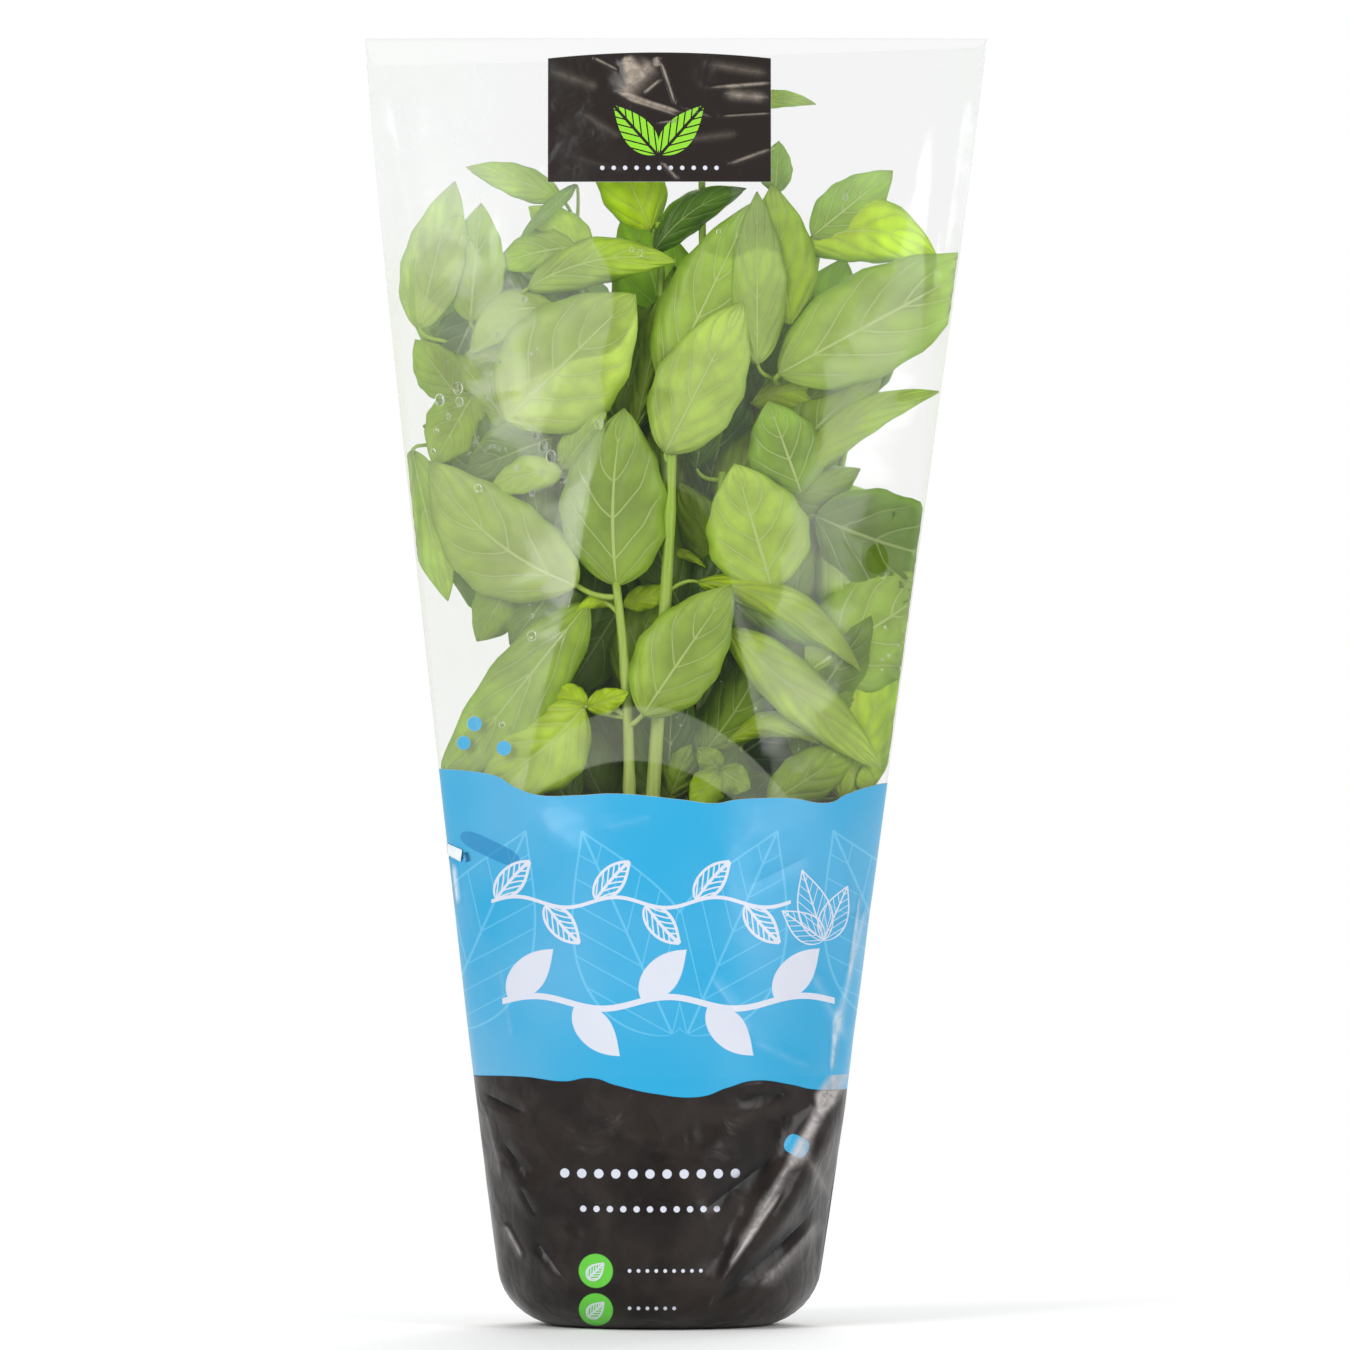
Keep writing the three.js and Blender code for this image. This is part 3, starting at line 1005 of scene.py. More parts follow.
# Each row: x and z of the stalk end, x and z of the tip, width, bow, depth in the bag at both ends
# (0 lies on the front film, 1 on the back), fold, tone (0 dark, 1 yellow-green), underside shown.
frontLeaves = {
    "bigLeft": (-46, 246, -11, 280, 34, 0, 0.12, 0.02, 0.0, 0.95, 1),
    "topMiddle": (-3, 255, 21, 305, 24, 0, 0.13, 0.06, 0.02, 0.45, 1),
    "topMiddleFlap": (22, 261, 22, 308, 15, 0, 0.08, 0.02, 0.0, 0.6, 1),
    "middle": (-3, 237, 18, 278, 24, 0, 0.06, 0.02, 0.0, 0.66, 1),
    "centre": (-16, 201, -14, 249, 29, 2, 0.08, 0.03, 0.0, 0.55, 1),
    "leftArm": (-27, 201, -67, 235, 27, 5, 0.06, 0.02, 0.0, 0.95, 1),
    "lowCentre": (-9, 166, 15, 201, 23, 0, 0.08, 0.03, 0.0, 0.66, 1),
    "rightLong": (14, 189, 56, 151, 15, 0, 0.12, 0.03, 0.04, 0.7, 0),
    "rightArch": (6, 202, 50, 178, 10, 6, 0.14, 0.05, 0.05, 0.86, 0),
    "archShade": (16, 196, 45, 183, 11, 2, 0.2, 0.12, 0.05, 0.12, 1),
    "rightBig": (28, 258.5, 87, 291, 28, 0, 0.1, 0.04, 0.0, 0.5, 1),
    "yellow": (36, 294, 72, 289, 18, 6, 0.3, 0.2, 0.04, 1.0, 0),
    "upperRight": (37, 296, 59, 314, 15, 0, 0.25, 0.3, 0.0, 0.3, 1),
    "behindRight": (31, 272, 26, 310, 18, 0, 0.18, 0.12, 0.03, 0.62, 0),
    "topTip": (18, 331, 38, 332, 5, 2, 0.6, 0.6, 0.05, 0.45, 0),
    "topRightSmall": (27, 308, 28, 322, 9, 0, 0.4, 0.4, 0.0, 0.3, 1),
    "darkBehind": (-6, 292, 19, 309, 10, 3, 0.3, 0.25, 0.06, 0.04, 0),
    "yellowTop": (-7, 298, -20, 328, 18, 0, 0.42, 0.36, 0.03, 1.0, 0),
    "arcLeft": (-40, 282, 0, 289, 13, 4, 0.1, 0.12, 0.04, 0.6, 0.6),
    "curlLeft": (-31, 275, -56, 264, 14, -6, 0.12, 0.08, 0.04, 0.62, 0.7),
    "leftUpperLow": (-27, 293, -49, 288, 12, -1, 0.2, 0.2, 0.0, 0.5, 0.6),
    "leftUpper": (-23, 291, -40, 304, 12, 0, 0.25, 0.22, 0.0, 0.62, 0.4),
    "blade": (-27, 310, -42, 296, 4, 0, 0.12, 0.06, 0.05, 0.15, 1),
    "leftTop": (-31, 306, -57, 315, 9, -1, 0.3, 0.2, 0.03, 0.7, 0.3),
    "leftDark": (-56, 273, -53, 305, 16, 0, 0.14, 0.08, 0.0, 0.58, 0.5),
    "leftEdge": (-70, 271, -60, 311, 17, 0, 0.06, 0.04, 0.0, 0.95, 1),
    "leftDarkLow": (-54, 276, -63, 257, 16, 0, 0.24, 0.2, 0.0, 0.05, 0),
    "leftEdgeSmall": (-59, 252, -71, 268, 13, 0, 0.18, 0.12, 0.0, 0.4, 0),
    "leftMiddle": (-55, 253, -66, 234, 16, 0, 0.16, 0.12, 0.02, 0.55, 0.3),
    "hazeLeft": (-34, 241, -57, 232, 17, 0, 0.16, 0.1, 0.0, 0.24, 0),
    "hazeMiddle": (-31, 233, -19, 248, 11, 0, 0.14, 0.1, 0.0, 0.55, 1),
    "wavy": (-31, 232, -51, 226, 10, -2, 0.1, 0.04, 0.03, 0.8, 0.4),
    "greenMiddle": (-32, 230, -19, 244, 9, 0, 0.26, 0.22, 0.0, 0.5, 0),
    "edgeLow": (-72, 238, -62, 197, 14, 0, 0.12, 0.14, 0.0, 0.6, 1),
    "hangingOuter": (-43, 205, -54, 186, 15, 0, 0.24, 0.2, 0.0, 0.3, 0),
    "hangingMiddle": (-31, 203, -45, 185, 15, 0, 0.22, 0.18, 0.02, 0.2, 0),
    "hangingInner": (-28, 200, -35, 170, 15, 0, 0.22, 0.16, 0.02, 0.2, 1),
    "lowLeftHaze": (-24, 196, -66, 144, 20, 0, 0.14, 0.05, 0.0, 0.4, 1),
    "lowLeft": (-25, 168, -53, 146, 23, 2, 0.1, 0.03, 0.0, 0.78, 0.6),
    "innerLeft": (-14, 197, -31, 170, 18, 0, 0.4, 0.34, 0.03, 0.22, 0),
    "innerMiddle": (-20, 198, -15, 172, 13, 0, 0.45, 0.42, 0.03, 0.1, 0),
    "budLeft": (-24, 168, -34, 174, 7, 0, 0.14, 0.1, 0.0, 0.72, 0),
    "budRight": (-24, 168, -13, 172, 7, 0, 0.14, 0.08, 0.0, 0.76, 0),
    "smallArchLeft": (-16, 196, -27, 194, 4, -2, 0.16, 0.12, 0.04, 0.7, 0),
    "smallArchRight": (-5, 209, 8, 206, 3, 2, 0.3, 0.26, 0.05, 0.8, 0),
    "budUpper": (-14, 196, -1, 200, 7, 0, 0.26, 0.22, 0.0, 0.76, 0),
    "rightHaze": (36, 178, 74, 203, 30, 0, 0.2, 0.14, 0.0, 0.38, 1),
    "rightYellow": (37, 226, 59, 209, 20, 0, 0.34, 0.3, 0.03, 0.85, 0),
    "rightEdge": (38, 220, 84, 207, 30, -2, 0.2, 0.12, 0.0, 0.26, 0),
    "rightHazeLow": (40, 212, 72, 178, 26, 0, 0.3, 0.24, 0.0, 0.42, 1),
    "rightBlade": (34, 231, 72, 254, 10, 5, 0.16, 0.12, 0.04, 0.52, 0),
    "rightBright": (21, 251, 50, 248, 12, 5, 0.34, 0.3, 0.03, 0.72, 0),
    "rightDark": (34, 226, 25, 251, 21, 0, 0.16, 0.1, 0.0, 0.22, 1),
    "paleRight": (26, 200, 16, 234, 28, 0, 0.08, 0.03, 0.0, 0.74, 1),
    "lowArch": (14, 159, 39, 158, 7, 5, 0.2, 0.16, 0.05, 0.5, 0),
    "lowRight": (25, 142, 50, 158, 14, 0, 0.16, 0.12, 0.02, 0.45, 0),
    "edgeFiller": (45, 143, 61, 186, 20, 0, 0.3, 0.24, 0.0, 0.8, 0),
    "lowRightSmall": (52, 145, 51, 152, 5, 0, 0.2, 0.18, 0.0, 0.6, 0),
    "clusterLeft": (12, 151, 6, 157, 7, 0, 0.2, 0.16, 0.0, 0.45, 0),
    "clusterRight": (12, 151, 20, 146, 9, 0, 0.2, 0.14, 0.0, 0.45, 0),
    "clusterLow": (12, 150, 4, 142, 10, 0, 0.2, 0.1, 0.0, 0.55, 0),
    "lowMiddle": (-2, 143, 4, 158, 10, 0, 0.26, 0.24, 0.0, 0.35, 0),
    "innerBlade": (-17, 242, -6, 278, 11, 0, 0.38, 0.34, 0.04, 0.25, 0),
    "innerBladeRight": (-11, 244, -3, 281, 10, 0, 0.3, 0.28, 0.05, 0.35, 0),
    "innerRight": (14, 204, 1, 229, 14, 0, 0.36, 0.32, 0.0, 0.3, 0),
    "innerDark": (-27, 211, -39, 230, 14, 0, 0.4, 0.36, 0.0, 0.04, 0),
}
leafForm = {
    "gap": 1.1,  # a leaf stays this far inside the film
    "sideGap": 0.6,
    "press": 1.5,  # how softly it comes to rest on the film
    "spread": 14,  # a leaf lying deeper in the bag rests this much further in
    "orderStep": 0.035,  # and each row of the list a little further than the row above
    "quilt": 0.6,
    "edgeWave": 1.1,
    "edgeUneven": 0.03,
    "arch": 0.08,  # how far the middle of a leaf stands up, as a share of its length
    "cup": (0.1, 0.3),  # how far its margins turn back, as a share of half its width
    "skew": 0.07,  # one half of a leaf is wider than the other by up to this share
    "lean": 0.12,
    "toneSpread": 0.1,
    "thickness": 0.3,
    "frontGrid": (16, 30),
    "fillGrid": (8, 14),
}
# places between the leaves where light comes through: x, z, radius
windows = [
    (-66, 270, 4.5), (1, 301, 5), (30, 266, 3), (59, 241, 10), (62, 252, 5), (-56, 187, 8),
    (-63, 172, 8), (-70, 320, 10), (-42, 313, 4), (-71, 250, 3), (66, 311, 8), (45, 326, 8),
    (-32, 326, 7),
]


def softStop(value, reach):
    # value where it is well above 0, and never below 0
    return (value + math.sqrt(value**2 + reach**2)) / 2


def growLeaf(bm, layers, plan, grid, order, rng):
    baseX, baseZ, tipX, tipZ, width, bow, depthBase, depthTip, fold, tone, under = plan
    uvLayer, toneLayer = layers
    runX, runZ = tipX - baseX, tipZ - baseZ
    length = math.hypot(runX, runZ)
    sideX, sideZ = runZ / length, -runX / length
    phase, waves = rng.uniform(0, 6.28), rng.uniform(1.5, 2.6)
    cup, skew = rng.uniform(*leafForm["cup"]), rng.uniform(-leafForm["skew"], leafForm["skew"])
    tone = limit(tone + rng.uniform(-leafForm["toneSpread"], leafForm["toneSpread"]))
    lean = rng.uniform(-leafForm["lean"], leafForm["lean"])
    made = bmesh.ops.create_grid(bm, x_segments=grid[0], y_segments=grid[1], size=1.0)["verts"]
    where = {}
    for vert in made:
        across, along = vert.co.x, (1 - math.cos(math.pi * (vert.co.y + 1) / 2)) / 2
        half = leafOutline(along) * width / 2 * (1 + skew * math.copysign(1, across))
        half *= 1 + leafForm["edgeUneven"] * math.sin(3 * phase + 29 * along + 2 * across)
        bend = bow * 4 * along * (1 - along)
        x = baseX + runX * along - sideX * bend + sideX * across * half
        z = baseZ + runZ * along - sideZ * bend + sideZ * across * half
        z = limit(z, 100, sleeve["height"] - 8)
        reach = halfWidth(z) - leafForm["sideGap"]
        off = x - axisX(z)
        excess = max(abs(off) - reach, 0)
        x = axisX(z) + limit(off, -reach, reach)
        depth = filmDepth(x, z)
        layer = mix(depthBase, depthTip, along)
        facing = 1 if layer < 0.5 else -1
        nearest = min(layer, 1 - layer)
        rowPhase = (along - veinForm["forward"] * abs(across) ** veinForm["bend"]) * veinForm["pairs"]
        between = 4 * abs(across) * (1 - abs(across))
        quilt = leafForm["quilt"] * math.sin(math.pi * rowPhase) ** 2 * between
        dish = fold * 9 * abs(across) * half + lean * across * half + cup * half * across**2
        wave = leafForm["edgeWave"] * across**2 * math.sin(phase + waves * 6.28 * along + across)
        arch = leafForm["arch"] * length * 4 * along * (1 - along) * (0.35 + 0.65 * (1 - across**2))
        rest = leafForm["gap"] + nearest * leafForm["spread"] + order
        wanted = nearest * 2 * depth + dish + wave - quilt - arch
        inset = rest + softStop(wanted - rest, leafForm["press"])
        room = max(depth - leafForm["gap"], 0.15)
        y = limit(facing * (min(inset, 1.5 * depth) + excess - depth), -room, room)
        touch = 1 - smooth(inset, leafForm["gap"] + 0.5, leafForm["gap"] + 3.5)
        where[vert] = (across, along)
        vert.co = (x, y, z)
        vert[toneLayer] = (tone, under, touch, limit(length / 42))
    for face in {f for vert in made for f in vert.link_faces}:
        face.smooth = True
        for loop in face.loops:
            across, along = where[loop.vert]
            loop[uvLayer].uv = (across / 2 + 0.5, along)


def clearOfWindows(plan, margin=4):
    baseX, baseZ, tipX, tipZ = plan[:4]
    for share in (0.1, 0.35, 0.6, 0.9):
        x, z = mix(baseX, tipX, share), mix(baseZ, tipZ, share)
        for windowX, windowZ, radius in windows:
            if math.hypot(x - windowX, z - windowZ) < radius + margin:
                return False
    return True


# leaves that only fill the bag, drawn at random; layers are depths as in the rows above
fillings = {
    "side": {
        "count": 34, "heights": (128, 276), "layers": (0.22, 0.36), "tones": (0.05, 0.4),
        "lengths": (26, 38), "under": 0,
    },
    "inner": {
        "count": 84, "heights": (104, 270), "layers": (0.38, 0.68), "tones": (0.0, 0.34),
        "lengths": (28, 44), "under": 0,
    },
    "back": {
        "count": 62, "heights": (112, 272), "layers": (0.84, 0.97), "tones": (0.3, 0.75),
        "lengths": (34, 50), "under": 1,
    },
    "tries": 4000,
    "highest": 306,
}


def fillingLeaves(rng, look):
    plans = []
    tries = 0
    while len(plans) < look["count"] and tries < fillings["tries"]:
        tries += 1
        z = rng.uniform(*look["heights"])
        side = rng.uniform(-0.75, 0.75)
        x = axisX(z) + halfWidth(z) * side
        heading = rng.gauss(side * 1.6, 0.55)
        length = rng.uniform(*look["lengths"])
        tipX, tipZ = x + length * math.sin(heading), z + length * math.cos(heading)
        if tipZ > fillings["highest"] or abs(tipX - axisX(tipZ)) > halfWidth(tipZ) - 3:
            continue
        layer = rng.uniform(*look["layers"])
        plan = (
            x, z, tipX, tipZ, length * rng.uniform(0.46, 0.6), rng.uniform(-3, 3), layer,
            layer + rng.uniform(-0.03, 0.03), rng.uniform(0, 0.035), rng.uniform(*look["tones"]),
            look["under"],
        )
        if clearOfWindows(plan):
            plans.append(plan)
    return plans


leafLook = {  # the first of two colours is for a dark leaf, the second for a yellow-green one
    "top": (srgb(42, 92, 8), srgb(210, 238, 20)),
    "under": (srgb(104, 152, 32), srgb(212, 236, 88)),
    "rim": srgb(146, 192, 12),
    "pressed": srgb(206, 222, 160),  # where it touches the film
    "wet": srgb(60, 92, 14),
    "vein": srgb(208, 224, 140),
    "through": srgb(166, 214, 8),
    "glow": 0.42,
    "roughness": 0.4,
    "specular": 0.3,
    "relief": 0.8,
}


def makeLeafMaterial():
    material, tree = newMaterial("basilLeaf")
    painted = put(tree, "ShaderNodeVertexColor", layer_name="leafTone").outputs
    parts = put(tree, "ShaderNodeSeparateColor", {"Color": painted["Color"]}).outputs
    size = painted["Alpha"]
    tone, under, touch = parts[0], parts[1], parts[2]
    uv = put(tree, "ShaderNodeUVMap", uv_map="leaf").outputs[0]
    flat = put(tree, "ShaderNodeSeparateXYZ", {"Vector": uv}).outputs
    place = placeInMillimetres(tree)[0]
    wander = noiseAt(tree, place, 0.05, 1.0)
    veins = useGroup(tree, leafVeins, {"across": flat[0], "along": flat[1], "wander": wander})
    top = mixColour(tree, tone, *leafLook["top"])
    below = mixColour(tree, tone, *leafLook["under"])
    blade = mixColour(tree, under, top, below)
    # painted shade: darker towards the stalk and lighter towards the tip
    stalkShade = rise(tree, flat[1], 0.0, 1.0, 0.82, 1.16, kind="LINEAR")
    blotches = rise(tree, noiseAt(tree, place, 0.1, 4.0, 0.6), 0.3, 0.7, 0.78, 1.18)
    # painted shade: darker along the veins and lighter on the swells between them
    quiltShade = rise(tree, veins["swell"], 0.0, 1.0, 0.93, 1.03)
    # shade holds the painted shade together with the random blotches of the leaf's own tone
    shade = product(tree, stalkShade, blotches, quiltShade)
    grey = put(tree, "ShaderNodeCombineColor", {"Red": shade, "Green": shade, "Blue": shade}).outputs[0]
    blade = mixColour(tree, 1.0, blade, grey, "MULTIPLY")
    rim = mixColour(tree, product(tree, veins["margin"], 0.45), blade, leafLook["rim"])
    wetPatch = rise(tree, noiseAt(tree, place, 0.028, 1.0), 0.5, 0.52)
    pressed = mixColour(tree, product(tree, touch, 0.22), rim, leafLook["pressed"])
    wet = mixColour(tree, product(tree, touch, wetPatch, 0.34), pressed, leafLook["wet"])
    veinShow = product(tree, veins["veins"], rise(tree, under, 0.0, 1.0, 0.4, 0.8, kind="LINEAR"))
    colour = mixColour(tree, veinShow, wet, leafLook["vein"])
    ribs = product(tree, veins["veins"], rise(tree, under, 0.0, 1.0, -0.3, 0.25, kind="LINEAR"))
    height = product(tree, calc(tree, "MULTIPLY_ADD", veins["swell"], 0.4, ribs), size)
    normal = bumpNormal(tree, height, leafLook["relief"])
    surface = shader(tree, "Principled", {
        "Base Color": colour, "Roughness": leafLook["roughness"],
        "Specular IOR Level": leafLook["specular"], "Normal": normal,
    })
    through = shader(tree, "Translucent", {"Color": mixColour(tree, 0.5, colour, leafLook["through"])})
    finishSurface(tree, mixShaders(tree, leafLook["glow"], surface, through))
    return material


def makeLeafPiece(name, plans, grid, material, rng):
    bm = bmesh.new()
    layers = bm.loops.layers.uv.new("leaf"), bm.verts.layers.float_color.new("leafTone")
    for number, plan in enumerate(plans):
        growLeaf(bm, layers, plan, grid, number * leafForm["orderStep"], rng)
    piece = finishPiece(name, bm, [material], doubles=0.004)
    addWall(piece, leafForm["thickness"], 0)


leafMaterial = makeLeafMaterial()
leafRandom = random.Random(11)
sideLeaves = fillingLeaves(leafRandom, fillings["side"])
innerLeaves = fillingLeaves(leafRandom, fillings["inner"])
backLeaves = fillingLeaves(leafRandom, fillings["back"])
makeLeafPiece("frontLeaves", frontLeaves.values(), leafForm["frontGrid"], leafMaterial, leafRandom)
makeLeafPiece("innerLeaves", [*sideLeaves, *innerLeaves], leafForm["fillGrid"], leafMaterial, leafRandom)
makeLeafPiece("backLeaves", backLeaves, leafForm["fillGrid"], leafMaterial, leafRandom)

# Main stems rise out of the soil, and a stalk leads from each leaf down to the nearest:
# x at the foot, x at the top, height of the top, depth in the bag, radius
mainStems = [
    (-8, -2, 258, 0.1, 2.4), (-14, -17, 202, 0.09, 2.0), (5, 12, 232, 0.3, 2.1),
    (12, 30, 255, 0.4, 1.9), (-22, -45, 275, 0.42, 1.9), (-2, -6, 300, 0.4, 1.8),
    (6, 8, 318, 0.44, 1.7), (20, 40, 292, 0.5, 1.7), (-12, -26, 298, 0.56, 1.7),
    (0, -12, 262, 0.36, 1.8), (14, 20, 300, 0.66, 1.7), (-24, -52, 255, 0.68, 1.7),
    (24, 48, 250, 0.7, 1.7),
]
stemForm = {
    "steps": 22,
    "taper": 0.55,
    "joint": 6,  # every sixth step is a thicker joint
    "jointSwell": 0.18,
    "behind": 2.2,  # a stalk starts this far behind its leaf
    "stalkRadius": (0.4, 0.85),
    "stalkSteps": 7,
    "low": (srgb(122, 146, 52), srgb(176, 190, 96)),  # the colours of its streaks
    "high": (srgb(110, 144, 26), srgb(150, 178, 44)),
}
soilHeight = 96


def depthToY(x, z, layer):
    return -filmDepth(x, z) * (1 - 2 * layer)


def stemPoint(stem, z):
    footX, topX, topZ, layer, radius = stem
    share = limit((z - soilHeight) / (topZ - soilHeight))
    bend = math.sin(share * math.pi * 1.3 + footX) * 1.6
    x = mix(footX * 0.8, topX, share**1.3) + bend
    deep = mix(0.5 + (layer - 0.5) * 0.6, layer, share)
    return Vector((x, depthToY(x, z, deep), z))


def makeStems(plans, material):
    curve = bpy.data.curves.new("stems", "CURVE")
    curve.dimensions = "3D"
    curve.bevel_depth = millimetre
    curve.bevel_resolution = 2
    curve.use_fill_caps = True

    def addTube(points, radii):
        spline = curve.splines.new("POLY")
        spline.points.add(len(points) - 1)
        for slot, point, radius in zip(spline.points, points, radii):
            slot.co = (*(point * millimetre), 1)
            slot.radius = radius
        spline.use_smooth = True

    steps, joint = stemForm["steps"], stemForm["joint"]
    for stem in mainStems:
        points, radii = [], []
        for i in range(steps + 1):
            points.append(stemPoint(stem, mix(soilHeight - 4, stem[2], i / steps)))
            swell = 1 + stemForm["jointSwell"] * (i % joint == joint - 1)
            radii.append(stem[4] * mix(1, stemForm["taper"], i / steps) * swell)
        addTube(points, radii)
    for plan in plans:
        baseX, baseZ, tipX, tipZ, width, bow, layer = plan[:7]
        behind = math.copysign(stemForm["behind"], 0.5 - layer)
        start = Vector((baseX, depthToY(baseX, baseZ, layer) + behind, baseZ))
        reach = 6 + width * 0.5
        heights = (baseZ - reach, baseZ - 3, baseZ - 2 * reach)
        options = [stemPoint(stem, z) for stem in mainStems for z in heights if soilHeight < z < stem[2]]
        end = min(options, key=lambda point: (point - start).length)
        forward = Vector((tipX - baseX, 0, tipZ - baseZ)).normalized()
        inset = start + forward * width * 0.08
        middle = start - forward * min(width * 0.35, (end - start).length * 0.5)
        thick = mix(*stemForm["stalkRadius"], limit(width / 30))
        points, radii = [], []
        for i in range(stemForm["stalkSteps"] + 1):
            t = i / stemForm["stalkSteps"]
            points.append((1 - t) ** 2 * inset + 2 * t * (1 - t) * middle + t * t * end)
            radii.append(thick * mix(0.8, 1.1, t))
        addTube(points, radii)
    holder = addObject("stemCurves", curve)
    bpy.context.view_layer.update()
    mesh = bpy.data.meshes.new_from_object(holder.evaluated_get(bpy.context.evaluated_depsgraph_get()))
    bpy.data.objects.remove(holder)
    bm = bmesh.new()
    bm.from_mesh(mesh)
    bmesh.ops.scale(bm, vec=(1 / millimetre,) * 3, verts=bm.verts[:])
    bmesh.ops.remove_doubles(bm, verts=bm.verts[:], dist=0.01)
    bmesh.ops.recalc_face_normals(bm, faces=bm.faces[:])
    finishPiece("stems", bm, [material])


def makeStemMaterial():
    material, tree = newMaterial("basilStem")
    place, x, y, z = placeInMillimetres(tree)
    streak = put(tree, "ShaderNodeVectorMath", operation="MULTIPLY")
    feed(tree, streak.inputs[0], place)
    streak.inputs[1].default_value = (1.2, 1.2, 0.06)
    lines = noiseAt(tree, streak.outputs[0], 1.0, 3.0)
    low = mixColour(tree, lines, *stemForm["low"])
    high = mixColour(tree, lines, *stemForm["high"])
    colour = mixColour(tree, rise(tree, z, 150, 230), low, high)
    finishPlain(tree, colour, 0.45, bumpNormal(tree, lines, 0.3, 0.4))
    return material


makeStems([*frontLeaves.values(), *sideLeaves, *innerLeaves, *backLeaves], makeStemMaterial())

# The growing medium closes the opaque foot. It shows between the lowest stems and from above.
soil = {
    "height": soilHeight,
    "rings": 22,
    "around": 72,
    "inset": 2.0,
    "rough": 2.2,
    "skirt": 7,  # its rim turns down by this much
    "thickness": 3,
    "colours": (srgb(24, 17, 12), srgb(78, 58, 42)),
}


def makeSoil():
    material, tree = newMaterial("growingMedium")
    place = placeInMillimetres(tree)[0]
    grain = noiseAt(tree, place, 0.9, 5.0, 0.7)
    finishPlain(tree, mixColour(tree, grain, *soil["colours"]), 0.95, bumpNormal(tree, grain, 0.8))
    bm = bmesh.new()
    bmesh.ops.create_grid(bm, x_segments=soil["around"], y_segments=soil["rings"], size=0.5)
    for vert in bm.verts:
        turn, share = (vert.co.x + 0.5) * 2 * math.pi, vert.co.y + 0.5
        reach = min(share * 1.15, 1)
        deep = max(share * 1.15 - 1, 0) / 0.15 * soil["skirt"]
        z = soil["height"] - deep
        x = axisX(z) + (halfWidth(z) - soil["inset"]) * math.cos(turn) * reach
        side = math.copysign(abs(math.sin(turn)) ** 1.1, math.sin(turn))
        y = (halfDepth(z) - soil["inset"]) * side * reach
        lump = noise.noise(Vector((x, y, 3)) / 5) + 0.5 * noise.noise(Vector((x, y, 9)) / 2.2)
        vert.co = (x, y, z + soil["rough"] * lump * (1 - reach**6))
    bmesh.ops.remove_doubles(bm, verts=bm.verts[:], dist=0.01)
    bmesh.ops.recalc_face_normals(bm, faces=bm.faces[:])
    addWall(finishPiece("growingMedium", bm, [material]), soil["thickness"])


makeSoil()

# Water drops lie on the inside of the film: x, z and radius of the larger ones.
drops = {
    "large": [
        (-64.2, 251.5, 1.5), (-58.8, 251.0, 1.2), (-59.2, 254.6, 1.4), (-35.9, 238.8, 1.4),
        (-33.8, 236.0, 1.5), (-38, 241.6, 0.9), (-43.2, 246.2, 0.9), (-20.8, 244.8, 1.3),
        (-53.7, 227.4, 1.2), (-36.2, 231.5, 0.9), (-39, 187.4, 1.2), (-39, 192.8, 0.7),
        (-65.2, 243.2, 0.8), (-66, 237.6, 0.7), (-51, 252, 0.8), (-47.2, 163.4, 0.8),
        (-9.8, 291, 0.9), (-12, 292, 0.7), (11.6, 297, 0.7), (-56, 295, 0.9), (-41, 278.6, 0.9),
        (-48.4, 269, 0.7), (-39, 226, 0.9), (-43, 233, 0.8), (-30.5, 229.5, 1.0), (-62, 247, 0.9),
        (-55.2, 263, 0.7), (-47.8, 261.4, 0.6), (-37.6, 265.2, 0.6), (46, 306.6, 0.8),
    ],
    "clusters": [  # x, z, width, height and count
        (-52.5, 238.6, 6, 2.4, 26), (-40, 244, 5, 3, 14), (-44, 258, 10, 7, 22),
        (-38, 190, 3, 12, 10), (10, 160, 26, 14, 16), (58, 178, 5, 14, 7),
    ],
    "fine": (0.18, 0.45),  # radii in the clusters
    "flat": 0.42,
    "sunk": 0.25,  # how far behind the film the middle of a drop lies
    "segments": (14, 8),
}


def makeDrops():
    material, tree = newMaterial("water")
    surface = shader(tree, "Principled", {
        "Base Color": (1, 1, 1), "Roughness": 0.03, "IOR": 1.33, "Transmission Weight": 1.0,
    })
    # painted highlight: a white diffuse rim, broken up by noise, stands for the glints round each drop
    rim = shader(tree, "Diffuse", {"Color": (1, 1, 1)})
    facing = put(tree, "ShaderNodeLayerWeight", {"Blend": 0.5}).outputs["Facing"]
    uneven = noiseAt(tree, placeInMillimetres(tree)[0], 0.45, 1.0)
    bright = product(tree, rise(tree, facing, 0.36, 0.6), rise(tree, uneven, 0.4, 0.52))
    finishSurface(tree, mixShaders(tree, bright, surface, rim))
    rng = random.Random(5)
    spots = list(drops["large"])
    for x, z, wide, tall, count in drops["clusters"]:
        for _ in range(count):
            spots.append((rng.gauss(x, wide / 2), rng.gauss(z, tall / 2), rng.uniform(*drops["fine"])))
    bm = bmesh.new()
    for x, z, radius in spots:
        y = -(filmDepth(x, z) - drops["sunk"])
        around, rows = drops["segments"]
        made = bmesh.ops.create_uvsphere(bm, u_segments=around, v_segments=rows, radius=radius)["verts"]
        squash = (rng.uniform(0.85, 1.1), drops["flat"], rng.uniform(0.95, 1.25))
        bmesh.ops.scale(bm, vec=squash, verts=made)
        slope = (filmDepth(x + 1, z) - filmDepth(x - 1, z)) / 2
        turned = Matrix.Rotation(-math.atan(slope), 3, "Z")
        bmesh.ops.rotate(bm, verts=made, cent=(0, 0, 0), matrix=turned)
        bmesh.ops.translate(bm, vec=(x, y, z), verts=made)
    finishPiece("drops", bm, [material])


makeDrops()

studio = {
    "backdrop": 1.0,  # what the camera sees behind the pack
    "around": 0.42,  # what lights the pack from all sides
    "floor": srgb(244, 244, 243),
    "fade": (0.11, 0.36),  # metres from the pack over which the floor turns as bright as the backdrop
    "key": dict(place=(-1.3, -1.4, 1.1), size=1.1, power=30),
    "fill": dict(place=(1.5, -1.2, 0.8), size=1.1, power=20),
    "back": dict(place=(0.3, 1.6, 1.2), size=1.6, power=30),
}


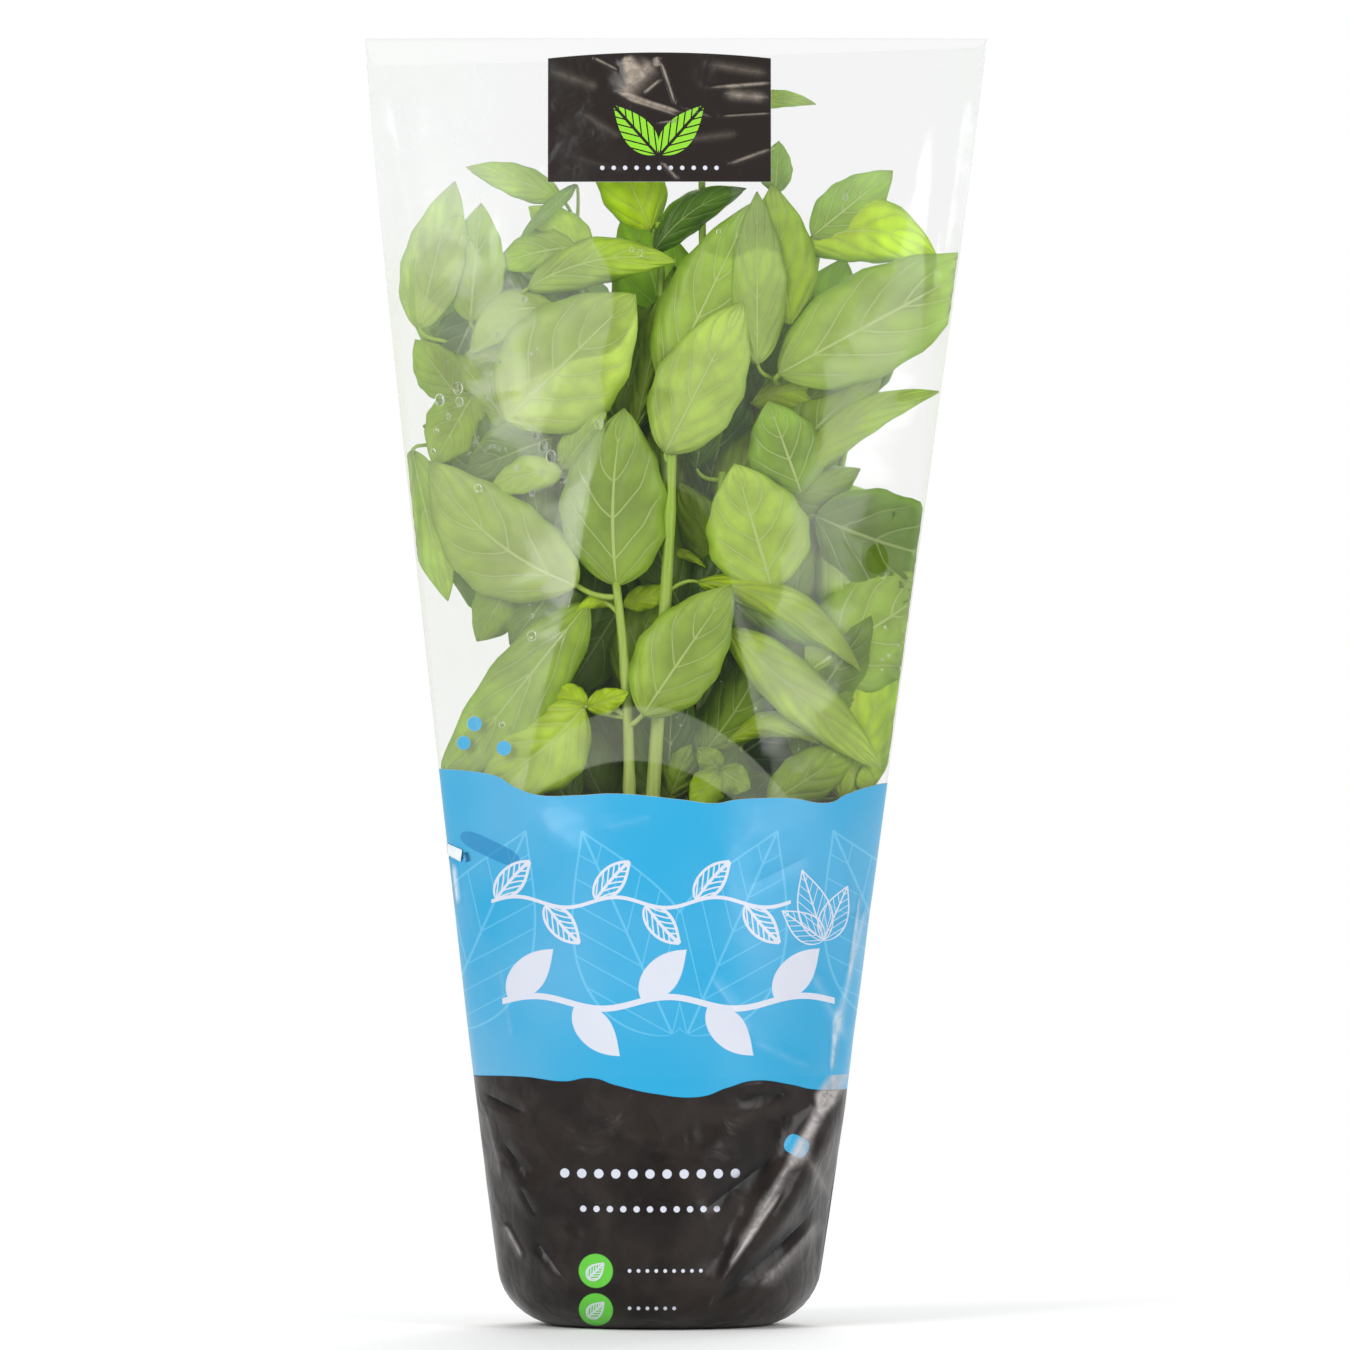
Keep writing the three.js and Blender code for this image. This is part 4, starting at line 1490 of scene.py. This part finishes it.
def makeStage():
    bm = bmesh.new()
    bmesh.ops.create_grid(bm, x_segments=1, y_segments=1, size=14)
    mesh = bpy.data.meshes.new("floor")
    bm.to_mesh(mesh)
    bm.free()
    floor = addObject("floor", mesh)
    material, tree = newMaterial("paleFloor")
    place = put(tree, "ShaderNodeTexCoord").outputs["Object"]
    away = put(tree, "ShaderNodeVectorMath", operation="LENGTH")
    feed(tree, away.inputs[0], place)
    near = shader(tree, "Principled", {"Base Color": studio["floor"], "Roughness": 0.9})
    far = put(tree, "ShaderNodeEmission", {"Color": (1, 1, 1, 1), "Strength": studio["backdrop"]})
    share = rise(tree, away.outputs["Value"], *studio["fade"])
    finishSurface(tree, mixShaders(tree, share, near, far.outputs[0]))
    mesh.materials.append(material)


def makeLights():
    world = bpy.data.worlds.new("studio")
    bpy.context.scene.world = world
    world.use_nodes = True
    tree = world.node_tree
    seen = put(tree, "ShaderNodeLightPath").outputs["Is Camera Ray"]
    strength = rise(tree, seen, 0.0, 1.0, studio["around"], studio["backdrop"], kind="LINEAR")
    feed(tree, tree.nodes["Background"].inputs["Color"], (1, 1, 1, 1))
    feed(tree, tree.nodes["Background"].inputs["Strength"], strength)
    aim = Vector((0, 0, 0.17))
    for name in ("key", "fill", "back"):
        lamp = studio[name]
        light = bpy.data.lights.new(name, "AREA")
        light.shape = "SQUARE"
        light.size = lamp["size"]
        light.energy = lamp["power"]
        holder = addObject(name, light)
        holder.location = lamp["place"]
        holder.rotation_euler = (aim - holder.location).to_track_quat("-Z", "Y").to_euler()


camera = {"distance": 3.5, "height": 0.1768, "x": -0.00027, "lens": 343, "sensor": 36}


def makeCamera():
    data = bpy.data.cameras.new("camera")
    data.lens = camera["lens"]
    data.sensor_width = camera["sensor"]
    data.clip_start, data.clip_end = 0.05, 60
    holder = addObject("camera", data)
    holder.location = (camera["x"], -camera["distance"], camera["height"])
    holder.rotation_euler = (math.pi / 2, 0, 0)
    bpy.context.scene.camera = holder


makeStage()
makeLights()
makeCamera()
print("stage, lights and camera are set")
bpy.context.scene.view_settings.view_transform = "Standard"
